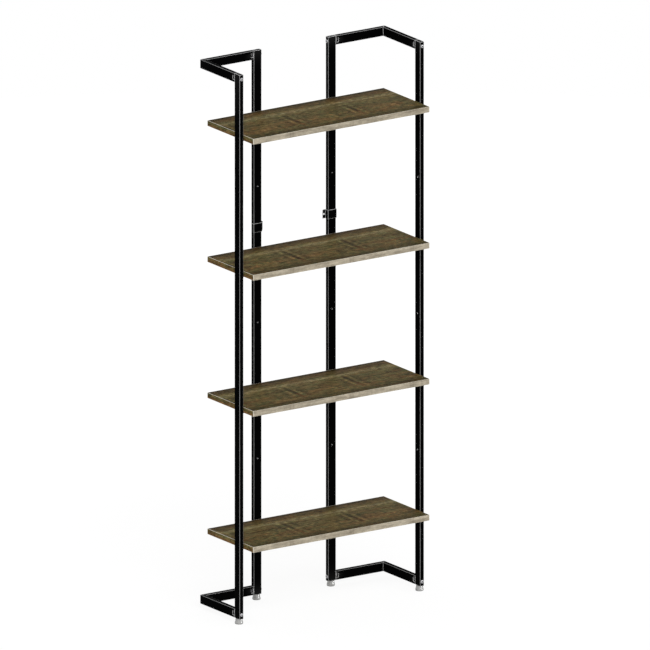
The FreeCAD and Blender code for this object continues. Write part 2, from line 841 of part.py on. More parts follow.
def make_clip(label, sign):
    """A strap round a rear post's front. Outboard it ends in a short hook along the post's side.
    Inboard it goes on to the wall, where it turns into a flange. The origin is on the post's axis,
    halfway up the clip."""
    body = new_body(label)
    profile = new_sketch(body, "XY_Plane", "-clip_height / 2")
    inner_x = "tube_width / 2"
    outer_x = "(tube_width / 2 + clip_thickness)"
    wall_y = "tube_thickness / 2"
    inner_y = "-tube_thickness / 2"
    outer_y = "(-tube_thickness / 2 - clip_thickness)"
    hook_end = f"({inner_y} + clip_hook)"
    flange_end = f"({outer_x} + clip_flange)"
    flange_front = "(tube_thickness / 2 - clip_thickness)"
    polygon(profile, [
        (f"{-sign} * {flange_end}", wall_y),
        (f"{-sign} * {inner_x}", wall_y),
        (f"{-sign} * {inner_x}", inner_y),
        (f"{sign} * {inner_x}", inner_y),
        (f"{sign} * {inner_x}", hook_end),
        (f"{sign} * {outer_x}", hook_end),
        (f"{sign} * {outer_x}", outer_y),
        (f"{-sign} * {outer_x}", outer_y),
        (f"{-sign} * {outer_x}", flange_front),
        (f"{-sign} * {flange_end}", flange_front),
    ])
    pad(body, profile, "clip_height")

    strap_x = number(outer_x)
    strap_y = number(outer_y)
    inboard_x = -sign * number(inner_x)
    back_y = number(wall_y)

    def is_bend(edge):
        middle = edge.CenterOfMass
        front_corner = abs(abs(middle.x) - strap_x) < 0.001 and abs(middle.y - strap_y) < 0.001
        back_corner = abs(middle.x - inboard_x) < 0.001 and abs(middle.y - back_y) < 0.001
        return runs_along(edge, Vector(0, 0, 1)) and (front_corner or back_corner)

    round_edges(body, "clip_bend", is_bend)
    screw_hole = new_sketch(body, "XZ_Plane")
    circle(screw_hole, (f"{-sign} * ({outer_x} + clip_hole_offset)", "0"), "clip_hole_diameter")
    pocket(body, screw_hole, "tube_thickness")
    place(body, (f"{sign} * {REAR_POST_X}", REAR_POST_Y, f"{POST_BOTTOM} + clip_middle"))
    register(body, label)


# ---------------------------------------------------------------------------------------------
# Build, check and write
# ---------------------------------------------------------------------------------------------

def check_model():
    for thing in document.Objects:
        if "Invalid" in thing.State or "Error" in thing.State:
            raise ValueError(f"{thing.Label} failed: {thing.State}")
    for part in parts:
        shape = part.Shape
        if shape.isNull() or not shape.isValid() or not shape.Solids:
            raise ValueError(f"{part.Label} has no valid solid")


def write_parts():
    os.makedirs("parts", exist_ok=True)
    for part in parts:
        part.Shape.exportStep(f"parts/{part.Label}.step")
        print(f"{part.Label}: {len(part.Shape.Solids)} solids, {part.Shape.Volume:.1f} mm3")


fill_sheet()
make_frame()
make_frame_fasteners()
make_inserts()
make_post_ends()
make_shelves()
for clip_side, clip_sign in SIDES:
    make_clip(f"wall_clip_{clip_side}", clip_sign)
document.recompute()
check_model()
write_parts()
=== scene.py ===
# %% [markdown]
# # A four-tier shelving unit on a black steel frame
#
# The unit has four wooden boards, held between four upright tubes of rectangular steel. This
# lesson dresses its construction model. The model already has every piece at its right size and
# place, so each step asks what the real piece is made of, which of its shapes the eye notices,
# and how they are made in Blender. Everything is in metres. X runs to the right, Y towards the
# wall and Z up.

# %% Load the construction model
import json
import math
import bmesh
import bpy
from mathutils import Matrix, Vector


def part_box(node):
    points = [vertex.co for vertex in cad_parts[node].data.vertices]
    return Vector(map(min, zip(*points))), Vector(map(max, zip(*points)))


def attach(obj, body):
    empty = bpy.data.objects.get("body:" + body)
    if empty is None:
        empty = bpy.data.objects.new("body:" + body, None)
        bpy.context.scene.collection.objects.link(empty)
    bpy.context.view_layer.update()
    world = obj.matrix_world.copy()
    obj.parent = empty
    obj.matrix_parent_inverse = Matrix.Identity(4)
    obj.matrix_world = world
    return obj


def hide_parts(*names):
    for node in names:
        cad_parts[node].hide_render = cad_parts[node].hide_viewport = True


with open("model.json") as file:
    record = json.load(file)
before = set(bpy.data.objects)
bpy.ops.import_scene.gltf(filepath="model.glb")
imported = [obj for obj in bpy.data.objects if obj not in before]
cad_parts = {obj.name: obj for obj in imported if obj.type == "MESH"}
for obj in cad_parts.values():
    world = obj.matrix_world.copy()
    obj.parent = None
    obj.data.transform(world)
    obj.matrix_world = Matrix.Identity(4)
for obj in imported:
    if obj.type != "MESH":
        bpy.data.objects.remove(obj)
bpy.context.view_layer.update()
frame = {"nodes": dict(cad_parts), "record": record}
nodes = frame["nodes"]
MM = 0.001

# %% [markdown]
# ## The camera
#
# The unit is seen from the front, from its left and a little from above, in parallel projection.
# Such a view keeps all the uprights upright and all the boards the same size, as a drawing does.
# A perspective lens far away would come close, but an orthographic camera does it exactly. Its
# place is written in its own directions: how far to the right of the unit's centre it looks, and
# how high.

# %% Put a thing in the scene
def show(name, data):
    """A new object that has this camera, lamp or mesh as its data."""
    thing = bpy.data.objects.new(name, data)
    bpy.context.scene.collection.objects.link(thing)
    return thing


# %% Place the camera
VIEW_TURN = math.radians(-33.87)
VIEW_RISE = math.radians(15.95)
VIEW_WIDTH = 2.1
VIEW_RIGHT = 0.028
VIEW_UP = 0.894
CAMERA_DISTANCE = 6.0

towards_camera = Vector((
    math.sin(VIEW_TURN) * math.cos(VIEW_RISE),
    -math.cos(VIEW_TURN) * math.cos(VIEW_RISE),
    math.sin(VIEW_RISE)))
view_right = Vector((math.cos(VIEW_TURN), math.sin(VIEW_TURN), 0.0))
view_up = towards_camera.cross(view_right)

lens = bpy.data.cameras.new("camera")
lens.type = "ORTHO"
lens.ortho_scale = VIEW_WIDTH
camera = show("camera", lens)
camera.rotation_euler = Matrix((view_right, view_up, towards_camera)).transposed().to_euler()
camera.location = (
    VIEW_RIGHT * view_right + VIEW_UP * view_up + CAMERA_DISTANCE * towards_camera)
bpy.context.scene.camera = camera
bpy.context.scene.view_settings.view_transform = "Standard"
print("camera at", [round(value, 2) for value in camera.location])

# %% [markdown]
# ## Short ways to write shader nodes
#
# Materials are written as text here, so a node is made in one line: its kind, what goes into its
# sockets in their order, and its settings. A value that comes from another node is that node's
# output socket. What the line returns is the new node's own output.

# %% Make one shader node
def put(tree, socket, value):
    """Joins a socket to another one, or gives it a plain value."""
    if isinstance(value, bpy.types.NodeSocket):
        tree.links.new(value, socket)
    elif value is not None:
        socket.default_value = value


def add(tree, kind, *values, out=0, **settings):
    """A new node. The values go to its sockets in their order; None leaves a socket as it is."""
    node = tree.nodes.new("ShaderNode" + kind)
    for name, value in settings.items():
        setattr(node, name, value)
    for socket, value in zip(node.inputs, values):
        put(tree, socket, value)
    return node.outputs[out]


# %% Arithmetic
def calc(tree, operation, *values):
    return add(tree, "Math", *values, operation=operation)


def times(tree, first, second):
    return calc(tree, "MULTIPLY", first, second)


def between(tree, value, low, high, to_low=0.0, to_high=1.0):
    """Turns the range low to high into to_low to to_high, with a soft start and end."""
    return add(tree, "MapRange", value, low, high, to_low, to_high, interpolation_type="SMOOTHSTEP")


def stretch(tree, where, x, y=None, z=None):
    """Multiplies a place's coordinates: a larger number gives a finer pattern that way."""
    y = x if y is None else y
    z = y if z is None else z
    return add(tree, "VectorMath", where, (x, y, z), operation="MULTIPLY")


def split(tree, where):
    parts = tree.nodes.new("ShaderNodeSeparateXYZ")
    put(tree, parts.inputs[0], where)
    return parts.outputs


# %% Colour, noise and ramps
def blend(tree, share, first, second, mode="MIX"):
    """Mixes two colours."""
    node = tree.nodes.new("ShaderNodeMix")
    node.data_type = "RGBA"
    node.blend_type = mode
    put(tree, node.inputs[0], share)
    put(tree, node.inputs[6], first)
    put(tree, node.inputs[7], second)
    return node.outputs[2]


def darken(tree, colour, tone):
    """Multiplies a colour by one number."""
    return blend(tree, 1.0, colour, add(tree, "CombineXYZ", tone, tone, tone), "MULTIPLY")


def noise(tree, where, detail=2.0, roughness=0.5):
    """Soft random values about one unit across; a stretched place gives stretched noise."""
    return add(tree, "TexNoise", where, None, 1.0, detail, roughness)


NOISE_LOW = 0.3
NOISE_HIGH = 0.7


def spread(tree, pattern, at_low=0.0, at_high=1.0):
    """Spreads the middle of a noise, where nearly all its values lie, over a whole range."""
    return between(tree, pattern, NOISE_LOW, NOISE_HIGH, at_low, at_high)


def sway(tree, pattern, width):
    """Turns a noise from 0 to 1 into a distance to one side or the other, width in all."""
    return times(tree, calc(tree, "SUBTRACT", pattern, 0.5), width)


def vary(tree, tone, pattern, darkest, lightest):
    """Multiplies a tone by darkest where the pattern is 0 and by lightest where it is 1."""
    return times(tree, tone, add(tree, "MapRange", pattern, 0.0, 1.0, darkest, lightest))


def ramp(tree, value, *stops):
    """Grey levels along a value, between stops of place and level."""
    node = tree.nodes.new("ShaderNodeValToRGB")
    node.color_ramp.interpolation = "B_SPLINE"
    while len(node.color_ramp.elements) < len(stops):
        node.color_ramp.elements.new(0.5)
    for element, (place, level) in zip(node.color_ramp.elements, stops):
        element.position = place
        element.color = (level, level, level, 1.0)
    put(tree, node.inputs[0], value)
    return node.outputs[0]


# %% Groups and materials
def shader_group(name, inputs, outputs):
    """An empty node group with named sockets; returns it and its two end nodes."""
    group = bpy.data.node_groups.new(name, "ShaderNodeTree")
    kinds = {float: "NodeSocketFloat", tuple: "NodeSocketVector"}
    for label, value in inputs.items():
        socket = group.interface.new_socket(
            label, in_out="INPUT", socket_type=kinds[type(value)])
        socket.default_value = value
    for label in outputs:
        group.interface.new_socket(label, in_out="OUTPUT", socket_type="NodeSocketFloat")
    return group, group.nodes.new("NodeGroupInput"), group.nodes.new("NodeGroupOutput")


def use_group(tree, group, **values):
    """Places a group in a tree; its inputs are named in the call, with _ for a space."""
    node = tree.nodes.new("ShaderNodeGroup")
    node.node_tree = group
    for label, value in values.items():
        put(tree, node.inputs[label.replace("_", " ").capitalize()], value)
    return node.outputs


def new_material(name, **constants):
    """A Principled material. The constants are set straight on its sockets."""
    material = bpy.data.materials.new(name)
    material.use_nodes = True
    tree = material.node_tree
    shader = tree.nodes["Principled BSDF"]
    for label, value in constants.items():
        shader.inputs[label.replace("_", " ")].default_value = value
    return material, tree, shader


def describe(*materials):
    for material in materials:
        print(f"{material.name}: {len(material.node_tree.nodes)} nodes")


def cover(tree, shader, colour, roughness, relief, strength, depth):
    """Gives a material its colour, its roughness and the relief of a pattern of heights."""
    put(tree, shader.inputs["Base Color"], colour)
    put(tree, shader.inputs["Roughness"], roughness)
    put(tree, shader.inputs["Normal"], add(tree, "Bump", strength, depth, None, relief))


def object_place(tree):
    return add(tree, "TexCoord", out=3)


def object_normal(tree):
    return add(tree, "TexCoord", out=1)


def level_faces(tree):
    """1 on faces that look straight up or down, 0 on upright ones."""
    return calc(tree, "ABSOLUTE", split(tree, object_normal(tree))[2])


# %% [markdown]
# ## Effects that several finishes share
#
# Three effects come back on different pieces, so each is a node group, made once.
#
# *Rounded edges.* Paint is thinnest and wears first where a surface bends, and a foil is
# worn there too. The lighter colour on these edges is partly that wear and partly a painted
# highlight. The flat faces of this unit all look along X, Y or Z. So where the largest
# component of the normal is well under 1, the surface is on a rounded edge. That needs no painted
# mask. The edges that look to the front or up, towards the lamp, get more of the painted
# highlight. Sheltered is the share of it that is left on the edges that look down or to the wall.

# %% Rounded edges
HIGHLIGHT_FROM = (0.0, -0.6, 0.8)
RUB_FINENESS = 40.0


def rounded_edge_group():
    tree, entry, leave = shader_group(
        "rounded edges", {"Start": 0.03, "Full": 0.2, "Patchiness": 0.3, "Sheltered": 1.0},
        ["Mask"])
    normal = object_normal(tree)
    sizes = [calc(tree, "ABSOLUTE", part) for part in split(tree, normal)]
    largest = calc(tree, "MAXIMUM", calc(tree, "MAXIMUM", sizes[0], sizes[1]), sizes[2])
    bend = between(
        tree, calc(tree, "SUBTRACT", 1.0, largest), entry.outputs["Start"], entry.outputs["Full"])
    rub = noise(tree, stretch(tree, object_place(tree), RUB_FINENESS), detail=4.0)
    kept = calc(tree, "SUBTRACT", 1.0, times(tree, rub, entry.outputs["Patchiness"]))
    # Edges that look to the front or up, towards the lamp, keep all of the painted highlight.
    toward_highlight = add(tree, "VectorMath", normal, HIGHLIGHT_FROM, operation="DOT_PRODUCT", out=1)
    toward_highlight = between(tree, toward_highlight, -0.2, 0.2, entry.outputs["Sheltered"], 1.0)
    put(tree, leave.inputs["Mask"], times(tree, times(tree, bend, kept), toward_highlight))
    return tree


ROUNDED_EDGES = rounded_edge_group()

# %% [markdown]
# *Grain.* Wood grain is noise, stretched many times longer than wide. Fine fibres, wider streaks,
# broad clouds and short dark pores are the same noise at four sizes. The place is bent a little
# first, because real fibres wander.

# %% Wood grain
FIBRE_WANDER = 0.02
# Each layer's length and width in fibres, its detail, and where its noise starts and is full.
GRAIN_LAYERS = {
    "Fibre": (1.0, 1.0, 4.0, 0.3, 0.7),
    "Streak": (2.5, 9.0, 3.0, 0.32, 0.68),
    "Cloud": (1.2, 40.0, 3.0, 0.3, 0.7),
    "Pore": (0.12, 0.5, 1.0, 0.6, 0.72),
}


def grain_layer(tree, place, along, across, long, wide, detail, low, high):
    scale = add(tree, "CombineXYZ", calc(tree, "DIVIDE", along, long),
                calc(tree, "DIVIDE", across, wide), calc(tree, "DIVIDE", across, wide))
    pattern = noise(tree, add(tree, "VectorMath", place, scale, operation="MULTIPLY"), detail, 0.6)
    return between(tree, pattern, low, high)


def grain_group():
    """Wood grain along the first coordinate of the given place, in metres."""
    tree, entry, leave = shader_group(
        "wood grain", {"Place": (0.0, 0.0, 0.0), "Fibre length": 0.09, "Fibre width": 0.0009},
        GRAIN_LAYERS)
    place = entry.outputs["Place"]
    along = calc(tree, "DIVIDE", 1.0, entry.outputs["Fibre length"])
    across = calc(tree, "DIVIDE", 1.0, entry.outputs["Fibre width"])
    bends = noise(tree, stretch(tree, place, 4.0, 16.0), detail=3.0)
    wander = sway(tree, bends, FIBRE_WANDER)
    place = add(
        tree, "VectorMath", place, add(tree, "CombineXYZ", 0.0, wander, wander), operation="ADD")
    for label, layer in GRAIN_LAYERS.items():
        put(tree, leave.inputs[label], grain_layer(tree, place, along, across, *layer))
    return tree


def grain_relief(tree, grain):
    """Fibres stand out a little and pores are sunk."""
    return calc(tree, "SUBTRACT", times(tree, grain["Fibre"], 0.5), grain["Pore"])


GRAIN = grain_group()

# %% [markdown]
# *Skin.* Powder coat and moulded plastic have a fine, even unevenness, felt more than seen, and
# their gloss changes a little from place to place.

# %% Skin of a coat or a moulding
def skin_group():
    """Small even dimples, and broad patches for the gloss."""
    tree, entry, leave = shader_group("skin", {"Dimple size": 0.0012}, ["Height", "Patch"])
    place = object_place(tree)
    scale = calc(tree, "DIVIDE", 1.0, entry.outputs["Dimple size"])
    dimples = add(tree, "VectorMath", place, add(
        tree, "CombineXYZ", scale, scale, scale), operation="MULTIPLY")
    put(tree, leave.inputs["Height"], noise(tree, dimples, detail=2.0))
    put(tree, leave.inputs["Patch"], noise(tree, stretch(tree, place, 9.0), detail=4.0))
    return tree


SKIN = skin_group()
print("groups:", [group.name for group in bpy.data.node_groups])

# %% [markdown]
# ## Black powder coat
#
# The tubes, brackets and wall clips are steel with a matt black powder coat. Such a coat is
# nearly black and hardly shines, so the eye reads the tubes by their edges, which show as a fine
# grey line: the coat is thin and worn there, and the grey is also a painted highlight. The colour
# is mixed from those two by the mask of the rounded edges. The skin group gives the coat its
# orange peel and its slightly uneven gloss. A powder coat draws back even more from a sawn or
# punched edge, so those edges get a lighter version of it, again partly a painted highlight.

# %% Powder coat
COAT_BLACK = (0.0012, 0.0012, 0.0013, 1.0)
# The grey of the edges: worn coat and a painted highlight.
COAT_WORN_EDGE_AND_HIGHLIGHT = (0.34, 0.34, 0.34, 1.0)
# The near white of sawn and punched edges: thin coat and a painted highlight.
COAT_CUT_EDGE_AND_HIGHLIGHT = (0.88, 0.88, 0.88, 1.0)
COAT_ROUGHNESS = (0.5, 0.62)
EDGE_POLISH = 0.15


def powder_coat(name, edge_wear_and_highlight, sheltered):
    material, tree, shader = new_material(name, Specular_IOR_Level=0.002)
    edge = use_group(
        tree, ROUNDED_EDGES, start=0.01, full=0.1, patchiness=0.3, sheltered=sheltered)["Mask"]
    skin = use_group(tree, SKIN, dimple_size=0.0011)
    # Mixes in the edge grey, partly wear and partly a painted highlight.
    colour = blend(tree, edge, COAT_BLACK, edge_wear_and_highlight)
    dull = spread(tree, skin["Patch"], *COAT_ROUGHNESS)
    polished = calc(tree, "SUBTRACT", dull, times(tree, edge, EDGE_POLISH))
    cover(tree, shader, colour, polished, skin["Height"], strength=0.25, depth=0.2 * MM)
    return material


powder_black = powder_coat("black powder coat", COAT_WORN_EDGE_AND_HIGHLIGHT, sheltered=0.03)
# The cut edges' finish is partly a painted highlight.
powder_at_edges = powder_coat("powder coat at cut edges", COAT_CUT_EDGE_AND_HIGHLIGHT, sheltered=0.9)
describe(powder_black, powder_at_edges)

# %% [markdown]
# ## Zinc plate
#
# The bolts and screws are steel with bright zinc plate. It is a metal, so its colour is in its
# reflection. Plating is never quite even, so the gloss varies in small patches. The nuts are
# hardly lit inside the tubes, and are a dark grey version of the same, which is painted shade.
# The inserts are riveted in before the coat goes on: their rims are black, and only the lower
# side of the bore shows uncoated metal. That side looks up, and its near white is partly the
# metal and partly painted light.

# %% Zinc
ZINC_LIGHT = (0.43, 0.43, 0.44, 1.0)
ZINC_DULL = (0.30, 0.30, 0.31, 1.0)
# A dark copy of the zinc for the nuts and the sockets: painted shade.
SHADED_LIGHT = (0.10, 0.10, 0.105, 1.0)
SHADED_DULL = (0.05, 0.05, 0.052, 1.0)
ZINC_FINENESS = 350.0


def zinc_plate(name, light, dull, smoothest, roughest):
    material, tree, shader = new_material(name, Metallic=1.0)
    patches = spread(
        tree, noise(tree, stretch(tree, object_place(tree), ZINC_FINENESS), detail=3.0))
    roughness = between(tree, patches, 0.0, 1.0, smoothest, roughest)
    skin = use_group(tree, SKIN, dimple_size=0.0004)
    cover(tree, shader, blend(tree, patches, light, dull), roughness, skin["Height"],
          strength=0.15, depth=0.1 * MM)
    return material


zinc = zinc_plate("bright zinc", ZINC_LIGHT, ZINC_DULL, smoothest=0.42, roughest=0.56)
dark_zinc = zinc_plate("dark zinc", SHADED_LIGHT, SHADED_DULL, smoothest=0.45, roughest=0.6)
describe(zinc, dark_zinc)

# %% Inserts
RIM_BLACK = (0.014, 0.014, 0.014, 1.0)
# Near white on the bore's upward faces: uncoated metal and painted light.
BARE_AND_LIT_METAL = (0.92, 0.92, 0.92, 1.0)
BORE_FLOOR = (0.03, 0.3)


def coated_insert():
    material, tree, shader = new_material(
        "coated insert", Specular_IOR_Level=0.02, Roughness=0.5)
    upwards = split(tree, object_normal(tree))[2]
    # Faces that look up take the pale colour: painted light on the lit lower side of the bore.
    bare_and_lit = between(tree, upwards, *BORE_FLOOR)
    put(tree, shader.inputs["Base Color"], blend(tree, bare_and_lit, RIM_BLACK, BARE_AND_LIT_METAL))
    return material


insert_finish = coated_insert()
describe(insert_finish)

# %% [markdown]
# ## Moulded plastics
#
# The feet are moulded in natural nylon, a light grey that is a little glossy. The caps in the
# posts' tops are a harder plastic in black; their rounded edges are lighter, partly by wear and
# partly by a painted highlight.

# %% Plastics
NYLON_GREY = (0.37, 0.37, 0.36, 1.0)
NYLON_DEEPER = (0.31, 0.31, 0.305, 1.0)
CAP_BLACK = (0.004, 0.004, 0.0042, 1.0)
CAP_DEEPER = (0.003, 0.003, 0.003, 1.0)
# Lighter cap edges: wear and a painted highlight.
CAP_WORN_EDGE_AND_HIGHLIGHT = (0.12, 0.12, 0.12, 1.0)


def plastic(name, colour, deeper, smoothest, roughest, specular, edge_wear_and_highlight=None):
    material, tree, shader = new_material(name, Specular_IOR_Level=specular)
    skin = use_group(tree, SKIN, dimple_size=0.0009)
    shade = blend(tree, spread(tree, skin["Patch"]), colour, deeper)
    # Rounded edges get the lighter colour, partly wear and partly a painted highlight.
    if edge_wear_and_highlight:
        edge = use_group(tree, ROUNDED_EDGES, start=0.05, full=0.25, patchiness=0.4)["Mask"]
        shade = blend(tree, edge, shade, edge_wear_and_highlight)
    roughness = spread(tree, skin["Height"], smoothest, roughest)
    cover(tree, shader, shade, roughness, skin["Height"], strength=0.2, depth=0.15 * MM)
    return material


nylon = plastic(
    "grey nylon", NYLON_GREY, NYLON_DEEPER, smoothest=0.15, roughest=0.24, specular=0.9)
cap_plastic = plastic(
    "black plastic", CAP_BLACK, CAP_DEEPER, smoothest=0.4, roughest=0.5, specular=0.02,
    edge_wear_and_highlight=CAP_WORN_EDGE_AND_HIGHLIGHT)
describe(nylon, cap_plastic)

# %% [markdown]
# ## Rustic board foil
#
# The boards are wrapped in a foil with a printed picture of old planks. Across the board's depth
# the print goes from a dark reddish strip at the back, over a pale worn line where two planks
# meet, to an olive brown middle and a darker front edge. Short marks of an old saw cross the
# grain in groups, reddish towards the front, and because a print repeats, they come back at an
# even distance.
#
# Such a picture needs three kinds of change: along the depth, along the repeating length, and
# grain. A ramp along the depth gives the tones of the planks. A ramp along the repeating length
# gives the saw marks, and a soft window along the depth keeps them to their rows.

# %% Sizes of the print
PRINT_LENGTH = 0.2335
PRINT_START = 0.2265
BOARD_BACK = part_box("shelf_board_1")[1].y
BOARD_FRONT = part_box("shelf_front_band_1")[0].y
BOARD_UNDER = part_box("shelf_board_1")[0].z
BOARD_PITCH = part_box("shelf_board_2")[0].z - BOARD_UNDER
BOARD_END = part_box("shelf_front_band_1")[1].x
print(f"boards {(BOARD_BACK - BOARD_FRONT) / MM:.1f} mm deep, {BOARD_PITCH / MM:.1f} mm apart")


def print_phase(tree, x):
    """Where along the repeating print a place is, from 0 to 1."""
    turned = calc(tree, "DIVIDE", calc(tree, "ADD", x, PRINT_START), PRINT_LENGTH)
    return calc(tree, "FRACT", turned)


def depth_share(tree, y):
    """0 at the board's front and 1 at its back."""
    return add(tree, "MapRange", y, BOARD_FRONT, BOARD_BACK)


def height_in_board(tree, z):
    """How far a place is above the underside of its own board."""
    turned = calc(tree, "DIVIDE", calc(tree, "SUBTRACT", z, BOARD_UNDER), BOARD_PITCH)
    return times(tree, calc(tree, "FRACT", turned), BOARD_PITCH)


def rows(tree, y, front, back, soft):
    """1 between two depths, and 0 beyond them, with soft ends."""
    return times(tree, between(tree, y, front - soft, front + soft),
                 between(tree, y, back + soft, back - soft))


# %% Tones of the planks
PLANK_TONES = (
    (0.0, 0.42), (0.045, 0.2), (0.1, 0.3), (0.165, 0.52), (0.24, 0.46), (0.32, 0.55),
    (0.44, 0.48), (0.55, 0.44), (0.63, 0.52), (0.69, 0.6), (0.738, 1.0), (0.785, 0.62),
    (0.83, 0.375), (0.9, 0.315), (0.95, 0.195), (1.0, 0.1))
MIDDLE_TONE = 0.5
LINE_WAVER = 16.0 * MM


def plank_tones(tree, place, y):
    """The planks' brightness across the depth, with a line that wavers; 1 is the middle tone."""
    wobble = noise(tree, stretch(tree, place, 14.0, 30.0, 1.0), detail=3.0)
    wavering = calc(tree, "ADD", y, sway(tree, wobble, LINE_WAVER))
    return times(tree, ramp(tree, depth_share(tree, wavering), *PLANK_TONES), 1.0 / MIDDLE_TONE)


# %% Saw marks
# Light and dark strokes along one length of the print, around the middle tone.
SAW_STROKES = (
    (0.0, 0.5), (0.32, 0.5), (0.375, 0.3), (0.41, 0.42), (0.435, 0.85), (0.46, 0.42),
    (0.5, 0.12), (0.535, 0.42), (0.56, 0.85), (0.59, 0.42), (0.625, 0.28), (0.68, 0.5),
    (1.0, 0.5))
NICK_STROKES = ((0.0, 0.5), (0.08, 0.5), (0.112, 0.75), (0.16, 0.15), (0.2, 0.5), (1.0, 0.5))
# The depths where the marks start and end, and how softly.
SAW_ROWS = (-0.088, 0.038, 0.022)
NICK_ROWS = (-0.082, -0.046, 0.012)
RED_SAW_ROWS = (-0.1, -0.04, 0.012)
SAW_RAGGED = 5.0 * MM


def mark(tree, tone, marks, where, strength):
    """Lightens or darkens the tone by marks around the middle tone, in some rows only."""
    change = times(tree, calc(tree, "SUBTRACT", marks, MIDDLE_TONE), times(tree, where, strength))
    return times(tree, tone, calc(tree, "ADD", 1.0, change))


def saw_marks(tree, place, x, y, tone):
    """The tone with the marks in it, and how rusty the dark strokes are towards the front."""
    ragged = noise(tree, stretch(tree, place, 40.0, 260.0, 1.0), detail=2.0)
    phase = print_phase(tree, calc(tree, "ADD", x, sway(tree, ragged, SAW_RAGGED)))
    saw = ramp(tree, phase, *SAW_STROKES)
    nick = ramp(tree, phase, *NICK_STROKES)
    faint = noise(tree, stretch(tree, place, 16.0, 34.0, 1.0), detail=2.0)
    sawn = times(tree, rows(tree, y, *SAW_ROWS), between(tree, faint, 0.35, 0.65, 0.45, 1.2))
    tone = mark(tree, tone, saw, sawn, strength=2.2)
    tone = mark(tree, tone, nick, rows(tree, y, *NICK_ROWS), strength=1.8)
    rusty = times(tree, between(tree, saw, 0.45, 0.2, 0.0, 0.9), rows(tree, y, *RED_SAW_ROWS))
    return tone, rusty


# %% Board foil
UMBER = (0.107, 0.070, 0.0255, 1.0)
OLIVE = (0.1215, 0.099, 0.0395, 1.0)
RUST = (0.180, 0.090, 0.033, 1.0)
PORE_BROWN = (0.026, 0.017, 0.009, 1.0)
MOSS = (0.110, 0.108, 0.041, 1.0)
WORN = (0.116, 0.099, 0.053, 1.0)
# Pale paper on the board's rounded edges: worn foil and a painted highlight.
FOIL_EDGE_WEAR_AND_HIGHLIGHT = (0.85, 0.81, 0.71, 1.0)
# How much of the rust shows from the board's front to its back.
RED_ROWS = (
    (0.0, 0.3), (0.12, 0.45), (0.2, 0.75), (0.32, 1.0), (0.4, 0.8), (0.5, 0.3), (0.74, 0.15),
    (0.8, 0.4), (0.9, 1.0), (1.0, 1.0))
BACK_PLANK = (0.78, 0.86)
BACK_PLANK_RUST = 0.27
UNDER_TONE = 0.85
# A pale line along the back of the top: partly worn foil, partly a painted highlight.
BACK_LINE_WIDTH = 2.0 * MM
BACK_LINE_FADE = 0.8 * MM
BACK_LINE_SHARE = 0.7


def board_foil(name, is_end):
    material, tree, shader = new_material(name, Specular_IOR_Level=0.02)
    place = object_place(tree)
    x, y, z = split(tree, place)
    along = add(tree, "CombineXYZ", y, z, x) if is_end else place
    grain = use_group(tree, GRAIN, place=along, fibre_length=0.07, fibre_width=0.0008)
    broad = use_group(tree, GRAIN, place=along, fibre_length=0.05, fibre_width=0.0022)

    blots = noise(tree, stretch(tree, along, 60.0, 95.0), detail=4.0, roughness=0.7)
    moss = noise(tree, stretch(tree, along, 34.0, 70.0), detail=4.0, roughness=0.6)
    colour = blend(tree, broad["Streak"], UMBER, OLIVE)
    colour = blend(tree, between(tree, moss, 0.44, 0.62, 0.0, 0.8), colour, MOSS)
    rusty = times(tree, between(tree, grain["Cloud"], 0.4, 0.85), 0.6)
    rusty = calc(tree, "MAXIMUM", rusty, between(tree, blots, 0.52, 0.68, 0.0, 0.85))
    tone = vary(tree, 1.0, grain["Fibre"], 0.5, 1.48)
    tone = vary(tree, tone, grain["Streak"], 0.76, 1.24)
    tone = times(tree, tone, between(tree, blots, 0.32, 0.68, 0.56, 1.48))
    on_top = between(tree, level_faces(tree), 0.4, 0.8)
    if not is_end:
        share = depth_share(tree, y)
        rusty = times(tree, rusty, ramp(tree, share, *RED_ROWS))
        rusty = calc(tree, "MAXIMUM", rusty, between(
            tree, share, *BACK_PLANK, 0.0, BACK_PLANK_RUST))
        planks = plank_tones(tree, place, y)
        planks = add(tree, "MapRange", on_top, 0.0, 1.0, UNDER_TONE, planks)
        colour = blend(tree, between(tree, planks, 1.1, 1.8, 0.0, 0.6), colour, WORN)
        tone = times(tree, tone, planks)
        tone, rusty_marks = saw_marks(tree, place, x, y, tone)
        rusty = calc(tree, "MAXIMUM", rusty, rusty_marks)
    else:
        height = height_in_board(tree, z)
        tone = vary(tree, tone, broad["Fibre"], 0.8, 1.4)
        tone = times(tree, tone, between(tree, height, 0.005, 0.014, 0.85, 1.1))
        rusty = calc(tree, "MAXIMUM", times(tree, rusty, 0.5),
                     between(tree, height, 0.012, 0.006, 0.0, 0.7))
    colour = darken(tree, blend(tree, rusty, colour, RUST), tone)
    colour = blend(tree, times(tree, grain["Pore"], 0.6), colour, PORE_BROWN)

    # The foil is worn through to its light paper along the ends and the back of the board, and
    # the pale colour there is also a painted highlight.
    edge = use_group(tree, ROUNDED_EDGES, start=0.01, full=0.1, patchiness=0.35)["Mask"]
    back = between(tree, y, BOARD_BACK - BACK_LINE_WIDTH - BACK_LINE_FADE, BOARD_BACK - BACK_LINE_WIDTH)
    edge = calc(tree, "MAXIMUM", edge, times(tree, times(tree, back, on_top), BACK_LINE_SHARE))
    colour = blend(tree, edge, colour, FOIL_EDGE_WEAR_AND_HIGHLIGHT)
    roughness = between(tree, grain["Fibre"], 0.0, 1.0, 0.72, 0.56)
    cover(tree, shader, colour, roughness, grain_relief(tree, grain),
          strength=0.35, depth=0.25 * MM)
    return material


board_face = board_foil("board foil", False)
board_end = board_foil("board end foil", True)
describe(board_face, board_end)

# %% [markdown]
# ## Pale front band
#
# The front edge of each board has a glued-on band of pale oak print. Its grain runs along the
# board, with a small dark knot wherever the print repeats.

